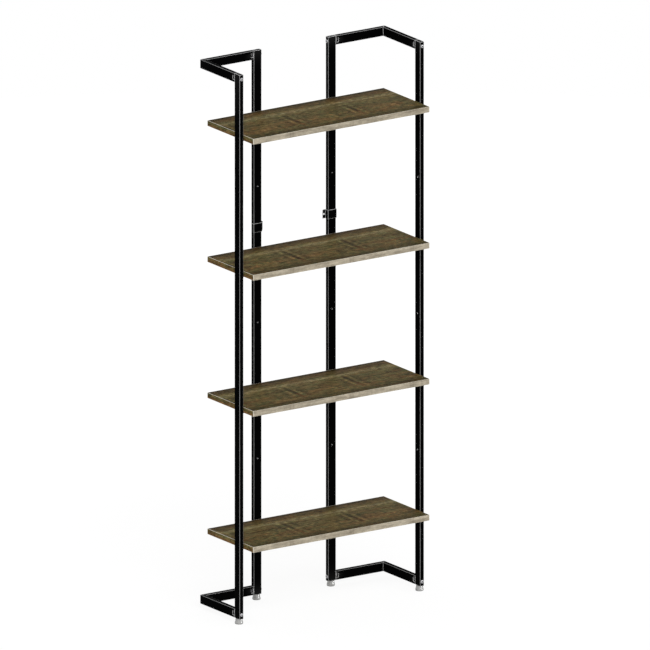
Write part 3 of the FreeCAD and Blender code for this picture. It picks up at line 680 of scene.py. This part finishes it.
# %% Front band
OAK_PALE = (0.430, 0.380, 0.290, 1.0)
OAK_SHADE = (0.275, 0.237, 0.176, 1.0)
OAK_DARK = (0.110, 0.086, 0.060, 1.0)
# Pale colour of the band's edges and ends: raw wood and a painted highlight.
OAK_EDGE_WEAR_AND_HIGHLIGHT = (0.80, 0.76, 0.66, 1.0)
KNOT_SPOTS = (
    (0.0, 0.0), (0.1, 0.0), (0.122, 1.0), (0.145, 0.0), (0.168, 1.0), (0.19, 0.0), (1.0, 0.0))
KNOT_SHARE = 0.7
# Where the pale line at the band's ends starts and how strong it is: partly a painted highlight.
END_LINE_START = 2.5 * MM
END_LINE_FULL = 1.5 * MM
END_LINE_SHARE = 0.6
STAIN_SHARE = 0.15


def oak_band():
    material, tree, shader = new_material("pale oak band", Specular_IOR_Level=0.1)
    place = object_place(tree)
    x = split(tree, place)[0]
    grain = use_group(tree, GRAIN, place=place, fibre_length=0.03, fibre_width=0.0012)
    short = use_group(tree, GRAIN, place=place, fibre_length=0.006, fibre_width=0.0016)
    colour = blend(tree, grain["Streak"], OAK_PALE, OAK_SHADE)
    tone = vary(tree, 1.0, grain["Fibre"], 0.8, 1.1)
    tone = vary(tree, tone, short["Streak"], 0.88, 1.12)
    knot = ramp(tree, print_phase(tree, x), *KNOT_SPOTS)
    knot = vary(tree, knot, grain["Cloud"], 0.4, 1.0)
    colour = blend(tree, times(tree, knot, KNOT_SHARE), darken(tree, colour, tone), OAK_DARK)
    colour = blend(tree, times(tree, grain["Pore"], 0.35), colour, OAK_DARK)

    # The band's upright edges are trimmed to raw wood. The pale colour there and on its rounded
    # edges is partly raw wood and partly a painted highlight. Its long edges are stained like the
    # board.
    edge = use_group(tree, ROUNDED_EDGES, start=0.02, full=0.12, patchiness=0.3)["Mask"]
    near_end = between(tree, calc(tree, "ABSOLUTE", x), BOARD_END - END_LINE_START,
                       BOARD_END - END_LINE_FULL, 0.0, END_LINE_SHARE)
    edge = calc(tree, "MAXIMUM", edge, near_end)
    colour = blend(tree, times(tree, edge, 0.8), colour, OAK_EDGE_WEAR_AND_HIGHLIGHT)
    stained = between(tree, level_faces(tree), 0.5, 0.9, 0.0, STAIN_SHARE)
    colour = blend(tree, stained, colour, OAK_DARK)
    roughness = between(tree, grain["Fibre"], 0.0, 1.0, 0.68, 0.55)
    cover(tree, shader, colour, roughness, grain_relief(tree, grain),
          strength=0.3, depth=0.2 * MM)
    return material


band_face = oak_band()
describe(band_face)

# %% [markdown]
# ## Finishing a mesh
#
# Every new piece ends in the same way. Doubled points are merged and the faces are turned to
# point outwards. Faces that look straight along an axis are the flat ones, and stay flat. All
# others are part of a curve, and are shaded smoothly up to a sharp edge. Then the piece is tied
# to the body that carries it and to the finish that it takes.

# %% Turn a bmesh into a piece
TOUCHING = 0.001 * MM
NEARBY = 0.1 * MM
SHARP_EDGE = math.radians(38.0)
FLAT_FACE = 0.99995


def mesh_data(name, mesh):
    """Turns a bmesh into a mesh that an object can have, and frees it."""
    data = bpy.data.meshes.new(name)
    mesh.to_mesh(data)
    mesh.free()
    return data


def finish_piece(name, mesh, body, slot, *materials, stands_for=()):
    bmesh.ops.remove_doubles(mesh, verts=mesh.verts, dist=TOUCHING)
    bmesh.ops.recalc_face_normals(mesh, faces=mesh.faces)
    for face in mesh.faces:
        face.smooth = max(abs(value) for value in face.normal) < FLAT_FACE
    data = mesh_data(name, mesh)
    data.set_sharp_from_angle(angle=SHARP_EDGE)
    for material in materials:
        data.materials.append(material)
    piece = show(name, data)
    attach(piece, body)
    if stands_for:
        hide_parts(*stands_for)
    return piece


def tell(title, pieces):
    faces = sum(len(piece.data.polygons) for piece in pieces)
    print(f"{title}: {len(pieces)} pieces, {faces} faces")


# %% Blocks and rounded edges
def block(low, high):
    """A closed block between two corners."""
    mesh = bmesh.new()
    bmesh.ops.create_cube(mesh, size=1.0)
    bmesh.ops.scale(mesh, vec=high - low, verts=mesh.verts)
    bmesh.ops.translate(mesh, vec=(low + high) / 2, verts=mesh.verts)
    return mesh


def round_over(mesh, edges, radius, segments=4, finish=-1):
    """Rounds edges. finish is the number of the material for the new faces, or -1 for theirs."""
    bmesh.ops.bevel(
        mesh, geom=edges, offset=radius, offset_type="OFFSET", affect="EDGES",
        segments=segments, profile=0.5, material=finish, clamp_overlap=False)


def edge_middle(edge):
    return (edge.verts[0].co + edge.verts[1].co) / 2


# The part of a length or a normal that lies along an axis is more than this if it runs that way.
ALONG = 0.9


def is_upright(edge):
    run = edge.verts[1].co - edge.verts[0].co
    return abs(run.z) > ALONG * run.length


# %% [markdown]
# ## Boards
#
# A sawn board never has knife-sharp edges: the foil is pressed over a small rounding, and light
# catches it. Each board is a block whose edges are rounded over, except along its front, where
# the band is glued on. The end faces carry a strip whose grain runs along the end, so they get
# the second material.

# %% Make the boards
EDGE_ROUNDING = 1.4 * MM
SHELVES = (1, 2, 3, 4)


def make_board(number):
    low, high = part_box(f"shelf_board_{number}")
    mesh = block(low, high)
    at_front = low.y + EDGE_ROUNDING
    round_over(mesh, [
        edge for edge in mesh.edges
        if edge_middle(edge).y > at_front or is_upright(edge)], EDGE_ROUNDING)
    for face in mesh.faces:
        face.normal_update()
        face.material_index = int(abs(face.normal.x) > ALONG)
    return finish_piece(
        f"board_{number}", mesh, "frame", "board_wood", board_face, board_end,
        stands_for=[f"shelf_board_{number}"])


tell("boards", [make_board(number) for number in SHELVES])

# %% [markdown]
# ## Front bands
#
# The band is only a millimetre thick. Its front corners are trimmed round after gluing, and its
# back stays flat against the board.

# %% Make the bands
BAND_ROUNDING_SHARE = 0.8


def make_band(number):
    low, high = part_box(f"shelf_front_band_{number}")
    mesh = block(low, high)
    front = [edge for edge in mesh.edges if edge_middle(edge).y < low.y + NEARBY]
    round_over(mesh, front, BAND_ROUNDING_SHARE * (high.y - low.y))
    return finish_piece(
        f"band_{number}", mesh, "frame", "band_wood", band_face,
        stands_for=[f"shelf_front_band_{number}"])


tell("bands", [make_band(number) for number in SHELVES])

# %% [markdown]
# ## Sawn, punched and bent steel
#
# In the construction model, a sawn tube end, a punched window or the edge of a sheet is perfectly
# sharp. On the real frame such edges are deburred before the coat goes on, and every one of them
# shows as a thin light line, which here is partly a painted highlight. They could be rounded with
# a Bevel modifier, but the model's meshes are loose triangles, which have to be merged first. So
# each of these pieces is a copy of its node, with its points merged, its flat triangles joined
# into whole faces, and its sharp edges bevelled. The new faces take the lighter version of the
# coat. Where two mitred arms meet, the two bevels leave the fine groove of the joint. The round
# holes in the posts stay sharp, because an insert or a bolt head covers each of them.

# %% Ease the edges of the steel pieces
TUBE_EASE = 0.8 * MM
SHEET_EASE = 0.7 * MM
SAME_PLANE = math.radians(0.5)
EDGE_FINISH = 1


def at_an_end(edge, node):
    """Whether an edge lies in the lower or upper end of an upright tube."""
    low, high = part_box(node)
    height = edge_middle(edge).z
    return min(height - low.z, high.z - height) < TOUCHING


def eased_copy(name, node, ease):
    mesh = bmesh.new()
    mesh.from_mesh(nodes[node].data)
    bmesh.ops.remove_doubles(mesh, verts=mesh.verts, dist=TOUCHING)
    bmesh.ops.dissolve_limit(
        mesh, angle_limit=SAME_PLANE, verts=mesh.verts, edges=mesh.edges)
    sharp = [edge for edge in mesh.edges
             if edge.is_manifold and edge.calc_face_angle() > SHARP_EDGE
             and (not node.startswith("post_") or at_an_end(edge, node))]
    # The bevels take the lighter coat, which is partly a painted highlight.
    round_over(mesh, sharp, ease, segments=2, finish=EDGE_FINISH)
    return finish_piece(
        name, mesh, "frame", "black_steel", powder_black, powder_at_edges, stands_for=[node])


tubes = [eased_copy(f"tube_{name}", name, TUBE_EASE)
         for name in sorted(nodes) if name.startswith(("post_", "arm_"))]
sheets = [eased_copy(f"sheet_{name}", name, SHEET_EASE)
          for name in sorted(nodes) if name.startswith(("wall_clip_", "shelf_brackets_"))]
tell("tubes", tubes)
tell("sheet pieces", sheets)

# %% [markdown]
# ## Round and hexagonal pieces from rings
#
# Bolts, nuts and feet are round, but a socket or a nut is hexagonal, so a lathed outline alone
# can't make them. They are stacks of rings instead. Each ring is a circle or a hexagon with the
# same number of points, and a bridge of faces joins each ring to the next. A ring is given by its
# radius, its height and, for a hexagon, its number of corners, when the radius is half the width
# over the flats.

# %% Stack rings into one skin
RING_POINTS = 48
HEXAGON = 6


def ring(mesh, radius, height, corners=RING_POINTS):
    reach = radius / math.cos(math.pi / corners) if corners == HEXAGON else radius
    first_point, first_edge = len(mesh.verts), len(mesh.edges)
    bmesh.ops.create_circle(mesh, segments=corners, radius=reach)
    if corners < RING_POINTS:
        bmesh.ops.subdivide_edges(
            mesh, edges=list(mesh.edges)[first_edge:], cuts=RING_POINTS // corners - 1)
    bmesh.ops.translate(mesh, vec=(0.0, 0.0, height), verts=list(mesh.verts)[first_point:])
    return list(mesh.edges)[first_edge:]


def bridge(mesh, loops):
    for lower, upper in zip(loops, loops[1:]):
        bmesh.ops.bridge_loops(mesh, edges=lower + upper)


def stack(mesh, rings):
    """A closed skin through the rings, with a flat face in the first and in the last."""
    loops = [ring(mesh, *values) for values in rings]
    bridge(mesh, loops)
    for loop in (loops[0], loops[-1]):
        bmesh.ops.edgeloop_fill(mesh, edges=loop)


# %% Copies of one pattern
def set_out(pattern, places):
    """One mesh with a copy of the pattern at each place."""
    data = mesh_data("pattern", pattern)
    whole = bmesh.new()
    for place in places:
        start = len(whole.verts)
        whole.from_mesh(data)
        bmesh.ops.transform(whole, matrix=place, verts=list(whole.verts)[start:])
    bpy.data.meshes.remove(data)
    return whole


# %% [markdown]
# ## Screw threads
#
# A thread is one tooth, turned round the axis while it climbs: Blender's spin with a step along
# the axis. One turn climbs by the height of the tooth, so each turn closes on the one below.
# Turning to the left while climbing gives a right-hand thread. The two ragged ends are cut off
# square and closed.

# %% Turn a thread
THREAD_STEPS = 24
THREAD_DEPTH = 0.61
SPARE_TURNS = 3


def thread(mesh, crest, pitch, bottom, top):
    root = crest - THREAD_DEPTH * pitch
    tooth = ((root, 0.0), (root, 0.12), (crest, 0.44), (crest, 0.56), (root, 0.88), (root, 1.0))
    points = [mesh.verts.new((radius, 0.0, bottom + (share - 2.0) * pitch))
              for radius, share in tooth]
    edges = [mesh.edges.new(pair) for pair in zip(points, points[1:])]
    turns = math.ceil((top - bottom) / pitch) + SPARE_TURNS
    bmesh.ops.spin(
        mesh, geom=points + edges, axis=(0.0, 0.0, 1.0), dvec=(0.0, 0.0, pitch / THREAD_STEPS),
        angle=2 * math.pi * turns, steps=THREAD_STEPS * turns)
    bmesh.ops.remove_doubles(mesh, verts=mesh.verts, dist=TOUCHING)
    for height, outwards in ((bottom, -1.0), (top, 1.0)):
        cut = bmesh.ops.bisect_plane(
            mesh, geom=list(mesh.verts) + list(mesh.edges) + list(mesh.faces),
            plane_co=(0.0, 0.0, height), plane_no=(0.0, 0.0, outwards), clear_outer=True)
        rim = [item for item in cut["geom_cut"] if isinstance(item, bmesh.types.BMEdge)]
        bmesh.ops.edgeloop_fill(mesh, edges=rim)


# %% [markdown]
# ## Bolts of the frame
#
# A button-head bolt goes through each post into the arm behind it. Its domed head has a six-sided
# socket with a small lead-in, which is where the light collects. The first rings are the shank,
# then come the underside, the dome and the socket. The socket's faces get the dark zinc, which is
# painted shade in the recess. The end that passes the nut has a real thread, since it shows in
# the window of the arm.

# %% Pattern of a button-head screw
def dome(radius, flat, low, high, steps=7):
    """Rings of a dome, from its full radius up to the flat in its middle."""
    angles = [math.pi / 2 * step / steps for step in range(steps + 1)]
    return [(flat + (radius - flat) * math.cos(angle), low + (high - low) * math.sin(angle))
            for angle in angles]


def button_head(shank, head, height, socket, depth):
    """Rings of a screw head on a shank, all in millimetres, from the shank up."""
    lead_in = 0.6 * socket
    return [
        (shank, 0.0), (head - 0.3, 0.0), (head, 0.25),
        *dome(head, lead_in + 0.35, 0.45, height), (lead_in, height),
        (socket / 2, height - 0.3, HEXAGON), (socket / 2, height - depth, HEXAGON),
        (0.3 * socket, height - depth - 0.15)]


def in_millimetres(rings):
    return [(radius * MM, height * MM, *rest) for radius, height, *rest in rings]


# %% Pattern of a frame bolt
# All in millimetres. Heights are counted from the underside of the head.
SHANK = 2.95
SHANK_END = ((2.4, -36.0), (SHANK, -35.4))
THREAD_FROM = -35.8
BOLT_TIP = -40.0
BOLT_PITCH = 1.0
SOCKET_REACH = 2.38
SOCKET_ABOVE = 0.5


def bolt_pattern():
    mesh = bmesh.new()
    head = button_head(SHANK, head=6.0, height=3.0, socket=4.0, depth=2.0)
    stack(mesh, in_millimetres([*SHANK_END, *head]))
    # The socket's faces take the dark zinc, a painted shade in the recess.
    for face in mesh.faces:
        middle = face.calc_center_median() / MM
        face.material_index = int(middle.z > SOCKET_ABOVE and middle.xy.length < SOCKET_REACH)
    threaded = bmesh.new()
    thread(threaded, SHANK * MM, BOLT_PITCH * MM, BOLT_TIP * MM, THREAD_FROM * MM)
    part = mesh_data("thread", threaded)
    mesh.from_mesh(part)
    bpy.data.meshes.remove(part)
    return mesh


# %% Make the frame bolts
POST_LOW, POST_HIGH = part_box("post_front_left")
BOLT_INSET = 15.0 * MM
BOLT_HEIGHTS = (POST_LOW.z + BOLT_INSET, POST_HIGH.z - BOLT_INSET)
QUARTER_TURN = math.radians(90.0)
SOCKET_TURN = math.radians(23.0)


def bolt_places():
    """For each bolt, where its head rests and which way it looks, from the box of its post."""
    places = []
    for side, inwards in (("left", 1.0), ("right", -1.0)):
        for height in BOLT_HEIGHTS:
            low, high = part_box(f"post_front_{side}")
            forwards = Matrix.Rotation(QUARTER_TURN, 4, "X")
            places.append(Matrix.Translation(((low.x + high.x) / 2, low.y, height)) @ forwards)
            low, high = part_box(f"post_rear_{side}")
            sideways = Matrix.Rotation(QUARTER_TURN * inwards, 4, "Y")
            face = high.x if inwards > 0.0 else low.x
            places.append(Matrix.Translation((face, (low.y + high.y) / 2, height)) @ sideways)
    return [place @ Matrix.Rotation(SOCKET_TURN * count, 4, "Z")
            for count, place in enumerate(places)]


bolts = finish_piece("button_head_bolts", set_out(bolt_pattern(), bolt_places()), "frame",
                     "zinc_steel", zinc, dark_zinc, stands_for=["frame_bolts"])
tell("bolts", [bolts])

# %% [markdown]
# ## Nuts
#
# A nut's corners are turned off on a lathe at 30 degrees before it is threaded, so each flat ends
# in a curve. To get that curve, the hexagon's points are lowered in proportion to their distance
# from the axis: the corners, which are furthest out, go down the most.

# %% Make the nuts
NUT_TOP = -33.0 * MM
NUT_BOTTOM = -38.0 * MM
NUT_FLATS = 10.0 * MM
NUT_FACE = 4.75 * MM
NUT_BORE = 3.0 * MM
NUT_LEAD_IN = 0.4 * MM
TURNED_SLOPE = math.tan(math.radians(30.0))


def turned_corners(mesh, height, downwards):
    """A hexagon whose points lie on a 30 degree cone round the nut's face."""
    loop = ring(mesh, NUT_FLATS / 2, height, HEXAGON)
    for point in {point for edge in loop for point in edge.verts}:
        point.co.z -= downwards * (point.co.xy.length - NUT_FACE) * TURNED_SLOPE
    return loop


def nut_pattern():
    mesh = bmesh.new()
    loops = [
        ring(mesh, NUT_BORE, NUT_TOP - NUT_LEAD_IN), ring(mesh, NUT_BORE + NUT_LEAD_IN, NUT_TOP),
        ring(mesh, NUT_FACE, NUT_TOP), turned_corners(mesh, NUT_TOP, 1.0),
        turned_corners(mesh, NUT_BOTTOM, -1.0), ring(mesh, NUT_FACE, NUT_BOTTOM),
        ring(mesh, NUT_BORE + NUT_LEAD_IN, NUT_BOTTOM),
        ring(mesh, NUT_BORE, NUT_BOTTOM + NUT_LEAD_IN)]
    bridge(mesh, loops + loops[:1])
    return mesh


# The nuts take the dark zinc: painted shade inside the tubes.
nuts = finish_piece("hexagon_nuts", set_out(nut_pattern(), bolt_places()), "frame",
                    "dark_zinc", dark_zinc, stands_for=["frame_nuts"])
tell("nuts", [nuts])

# %% [markdown]
# ## Caps in the posts' tops
#
# A plastic cup closes each post. Its top lies flush with the steel, so what shows is the thin
# dark joint round it. Small roundings on the cap's top edges open that joint. The hollow
# underneath is an inset of the lower face, pushed up.

# %% Make the caps
CAP_WALL = 1.5 * MM
CAP_TOP = 2.0 * MM
CAP_ROUNDING = 0.4 * MM
CORNERS = ("front_left", "front_right", "rear_left", "rear_right")


def make_cap(corner):
    low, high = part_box(f"top_cap_{corner}")
    mesh = block(low, high)
    under = [face for face in mesh.faces if face.normal.z < -ALONG]
    bmesh.ops.inset_region(mesh, faces=under, thickness=CAP_WALL)
    pushed = bmesh.ops.extrude_face_region(mesh, geom=under)["geom"]
    bmesh.ops.delete(mesh, geom=under, context="FACES_ONLY")
    bmesh.ops.translate(
        mesh, vec=(0.0, 0.0, high.z - CAP_TOP - low.z),
        verts=[item for item in pushed if isinstance(item, bmesh.types.BMVert)])
    top = [edge for edge in mesh.edges if edge_middle(edge).z > high.z - NEARBY]
    round_over(mesh, top, CAP_ROUNDING, segments=3)
    return finish_piece(
        f"cap_{corner}", mesh, "frame", "black_plastic", cap_plastic,
        stands_for=[f"top_cap_{corner}"])


tell("caps", [make_cap(corner) for corner in CORNERS])

# %% [markdown]
# ## Levelling feet
#
# Each foot has three pieces that move differently. The cone is turned by hand, its steel stem is
# fixed in it and screws out of the post, and the glide under it stays still on the floor. The
# cone and the glide are stacks of rings with soft edges, as a moulding has. The stem is all
# thread.

# %% Shapes of the feet
# Each ring's radius and its height above the floor, in millimetres.
CONE_RINGS = (
    (3.05, 8.3), (3.05, 3.3), (13.3, 3.3), (13.65, 3.4), (13.88, 3.6), (13.93, 3.95),
    (13.1, 6.95), (12.25, 10.95), (11.35, 15.2), (11.08, 16.8), (10.92, 17.35), (10.6, 17.62),
    (10.2, 17.7), (3.95, 17.7), (3.95, 9.5))
GLIDE_FLOOR = 11.5
GLIDE_ROUNDING = 2.0
GLIDE_STEPS = 6
GLIDE_TOP_RINGS = ((13.5, 2.8), (13.3, 3.0), (3.0, 3.0), (3.0, 7.7), (2.7, 8.0))
STEM_RADIUS = 3.95 * MM
STEM_PITCH = 1.25 * MM
STEM_BOTTOM = 9.5 * MM
STEM_TOP = 29.5 * MM


# %% Make the cones, glides and stems
def on_corner(corner):
    """The move from the middle of the floor to a foot's place under its post."""
    low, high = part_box(f"foot_glide_{corner}")
    return Matrix.Translation(((low.x + high.x) / 2, (low.y + high.y) / 2, 0.0))


def make_foot_part(name, corner, body, slot, material, mesh, node):
    bmesh.ops.transform(mesh, matrix=on_corner(corner), verts=mesh.verts)
    return finish_piece(f"{name}_{corner}", mesh, f"{body}_{corner}", slot, material,
                        stands_for=[f"{node}_{corner}"])


def make_cone(corner):
    mesh = bmesh.new()
    stack(mesh, in_millimetres(CONE_RINGS))
    return make_foot_part(
        "nylon_cone", corner, "foot", "grey_plastic", nylon, mesh, "foot_cone")


def make_glide(corner):
    mesh = bmesh.new()
    angles = [math.pi / 2 * step / GLIDE_STEPS for step in range(GLIDE_STEPS + 1)]
    soft_edge = [(GLIDE_FLOOR + GLIDE_ROUNDING * math.sin(angle),
                  GLIDE_ROUNDING - GLIDE_ROUNDING * math.cos(angle)) for angle in angles]
    stack(mesh, in_millimetres([*soft_edge, *GLIDE_TOP_RINGS]))
    return make_foot_part(
        "nylon_glide", corner, "glide", "grey_plastic", nylon, mesh, "foot_glide")


def make_stem(corner):
    mesh = bmesh.new()
    thread(mesh, STEM_RADIUS, STEM_PITCH, STEM_BOTTOM, STEM_TOP)
    return make_foot_part(
        "threaded_stem", corner, "foot", "zinc_steel", zinc, mesh, "foot_stem")


for title, make in (("cones", make_cone), ("glides", make_glide), ("stems", make_stem)):
    tell(title, [make(corner) for corner in CORNERS])

# %% [markdown]
# ## Weld beads
#
# The mitred arms are welded, and the outer side of the weld is ground flush. In the inner corner
# the bead stays: a row of overlapping ripples. It is a stack of rings that swell and shrink with
# each ripple and taper to a small ring at either end.

# %% Make the weld beads
BEAD_RADIUS = 1.7 * MM
BEAD_RIPPLE = 0.2 * MM
RIPPLE_LENGTH = 1.3 * MM
BEAD_OFFSET = 0.4 * MM
BEAD_MARGIN = 2.0 * MM
BEAD_TIP = 0.35
BEAD_TAPER = 8.0
RING_STEPS = 4


def make_bead(level, side):
    low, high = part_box(f"arm_{level}_{side}_back")
    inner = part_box(f"arm_{level}_{side}_side")
    outwards = 1.0 if side == "right" else -1.0
    x = (inner[0].x if side == "right" else inner[1].x) - outwards * BEAD_OFFSET
    length = high.z - low.z - 2 * BEAD_MARGIN
    count = round(length / RIPPLE_LENGTH) * RING_STEPS
    rings = []
    for step in range(count + 1):
        share = step / count
        radius = BEAD_RADIUS + BEAD_RIPPLE * math.cos(2 * math.pi * step / RING_STEPS)
        radius *= min(1.0, BEAD_TIP + BEAD_TAPER * min(share, 1.0 - share))
        rings.append((radius, share * length))
    mesh = bmesh.new()
    stack(mesh, rings)
    bmesh.ops.translate(
        mesh, vec=(x, low.y - BEAD_OFFSET, low.z + BEAD_MARGIN), verts=mesh.verts)
    return finish_piece(f"weld_bead_{level}_{side}", mesh, "frame", "black_steel", powder_black)


tell("weld beads", [make_bead(level, side) for level in ("bottom", "top")
                    for side in ("left", "right")])

# %% [markdown]
# ## Pieces that keep their shape
#
# The small screws under the boards, the inserts, the end plates and the plugs in the posts
# already have all the shape that shows. They only change their material. The nuts are new
# pieces, so of the dark zinc only the inserts are left.

# %% Give the remaining construction pieces their finish
FINISH_OF_SLOT = {
    "black_steel": powder_black,
    "zinc_steel": zinc,
    "dark_zinc": insert_finish,
    "grey_plastic": nylon,
    "black_plastic": cap_plastic,
}
slot_of_node = {
    part["node"]: part["material_slot"] for part in frame["record"]["subparts"]}
for name, node in nodes.items():
    finish = FINISH_OF_SLOT.get(slot_of_node[name])
    if finish:
        for material_slot in node.material_slots:
            material_slot.material = finish
print("finishes of the construction pieces:", sorted(FINISH_OF_SLOT))

# %% [markdown]
# ## Floor, light and air
#
# The unit stands in an empty white studio. A pale floor keeps its soft shadow and fades into the
# white around it. Most of the floor's white is its own glow, seen by the camera and in
# reflections only, so that it reads as white without any more light on the unit. The glow is a
# little over 1, to make up for the paper under it, which is darker than white.

# %% Floor
FLOOR_RADIUS = 6.0
FLOOR_CLEAR = 1.0
FLOOR_GONE = 3.0
FLOOR_GLOW = 0.85
FLOOR_WHITE = 1.05
FLOOR_PAPER = (0.96, 0.96, 0.96, 1.0)
WHITE = (1.0, 1.0, 1.0, 1.0)


def make_floor():
    material = bpy.data.materials.new("studio floor")
    material.use_nodes = True
    tree = material.node_tree
    tree.nodes.clear()
    distance = add(tree, "VectorMath", object_place(tree), operation="LENGTH", out=1)
    paper = add(tree, "BsdfDiffuse", FLOOR_PAPER)
    white = add(tree, "Emission", WHITE, FLOOR_WHITE)
    rays = tree.nodes.new("ShaderNodeLightPath").outputs
    seen = calc(tree, "MAXIMUM", rays["Is Camera Ray"], rays["Is Glossy Ray"])
    gone = between(tree, distance, FLOOR_CLEAR, FLOOR_GONE, FLOOR_GLOW, 1.0)
    surface = add(tree, "MixShader", times(tree, gone, seen), paper, white)
    put(tree, tree.nodes.new("ShaderNodeOutputMaterial").inputs["Surface"], surface)

    mesh = bmesh.new()
    bmesh.ops.create_circle(mesh, cap_ends=True, segments=96, radius=FLOOR_RADIUS)
    data = mesh_data("studio_floor", mesh)
    data.materials.append(material)
    show("studio_floor", data)


make_floor()
print(f"floor {2 * FLOOR_RADIUS:.0f} m across")

# %% [markdown]
# One broad lamp shines from the front, a little to the right of the camera, so that the fronts
# are the lightest sides. A weak small one further to the right gives round pieces their
# highlight. The white air fills the rest. It is stronger for the camera and for reflections than
# for light, because a white background is 1, and the light on a face should add up to about 1.
# Little of the light comes from straight above, so the highest board isn't lighter than those
# with a board over them.

# %% Lamp and surroundings
AIR_STRENGTH = 0.68
OVERHEAD_STRENGTH = 0.136
OVERHEAD_HEIGHTS = (0.78, 0.98)


def make_lamp(name, shines_from, strength, width):
    lamp = bpy.data.lights.new(name, "SUN")
    lamp.energy = strength
    lamp.angle = math.radians(width)
    show(name, lamp).rotation_euler = shines_from.to_track_quat("Z", "Y").to_euler()


def make_air():
    world = bpy.data.worlds.new("white studio")
    world.use_nodes = True
    tree = world.node_tree
    rays = tree.nodes.new("ShaderNodeLightPath").outputs
    seen = calc(tree, "MAXIMUM", calc(
        tree, "MAXIMUM", rays["Is Camera Ray"], rays["Is Glossy Ray"]),
        rays["Is Transmission Ray"])
    background = tree.nodes["Background"]
    background.inputs["Color"].default_value = WHITE
    height = split(tree, add(tree, "TexCoord", out=0))[2]
    strength = between(tree, height, *OVERHEAD_HEIGHTS, AIR_STRENGTH, OVERHEAD_STRENGTH)
    put(tree, background.inputs["Strength"], between(tree, seen, 0.0, 1.0, strength, 1.0))
    bpy.context.scene.world = world


make_lamp("key", shines_from=Vector((-0.45, -1.5, 1.2)), strength=1.35, width=40.0)
make_lamp("glint", shines_from=Vector((0.53, -0.8, 0.08)), strength=0.6, width=8.0)
make_air()
print("lamps:", [lamp.name for lamp in bpy.data.lights])

# %% [markdown]
# ## Size of the dressed unit
#
# The dressed unit has to be as large as the construction model.

# %% Corners of a box
def corners(box):
    return [[round(value, 6) for value in corner] for corner in box]
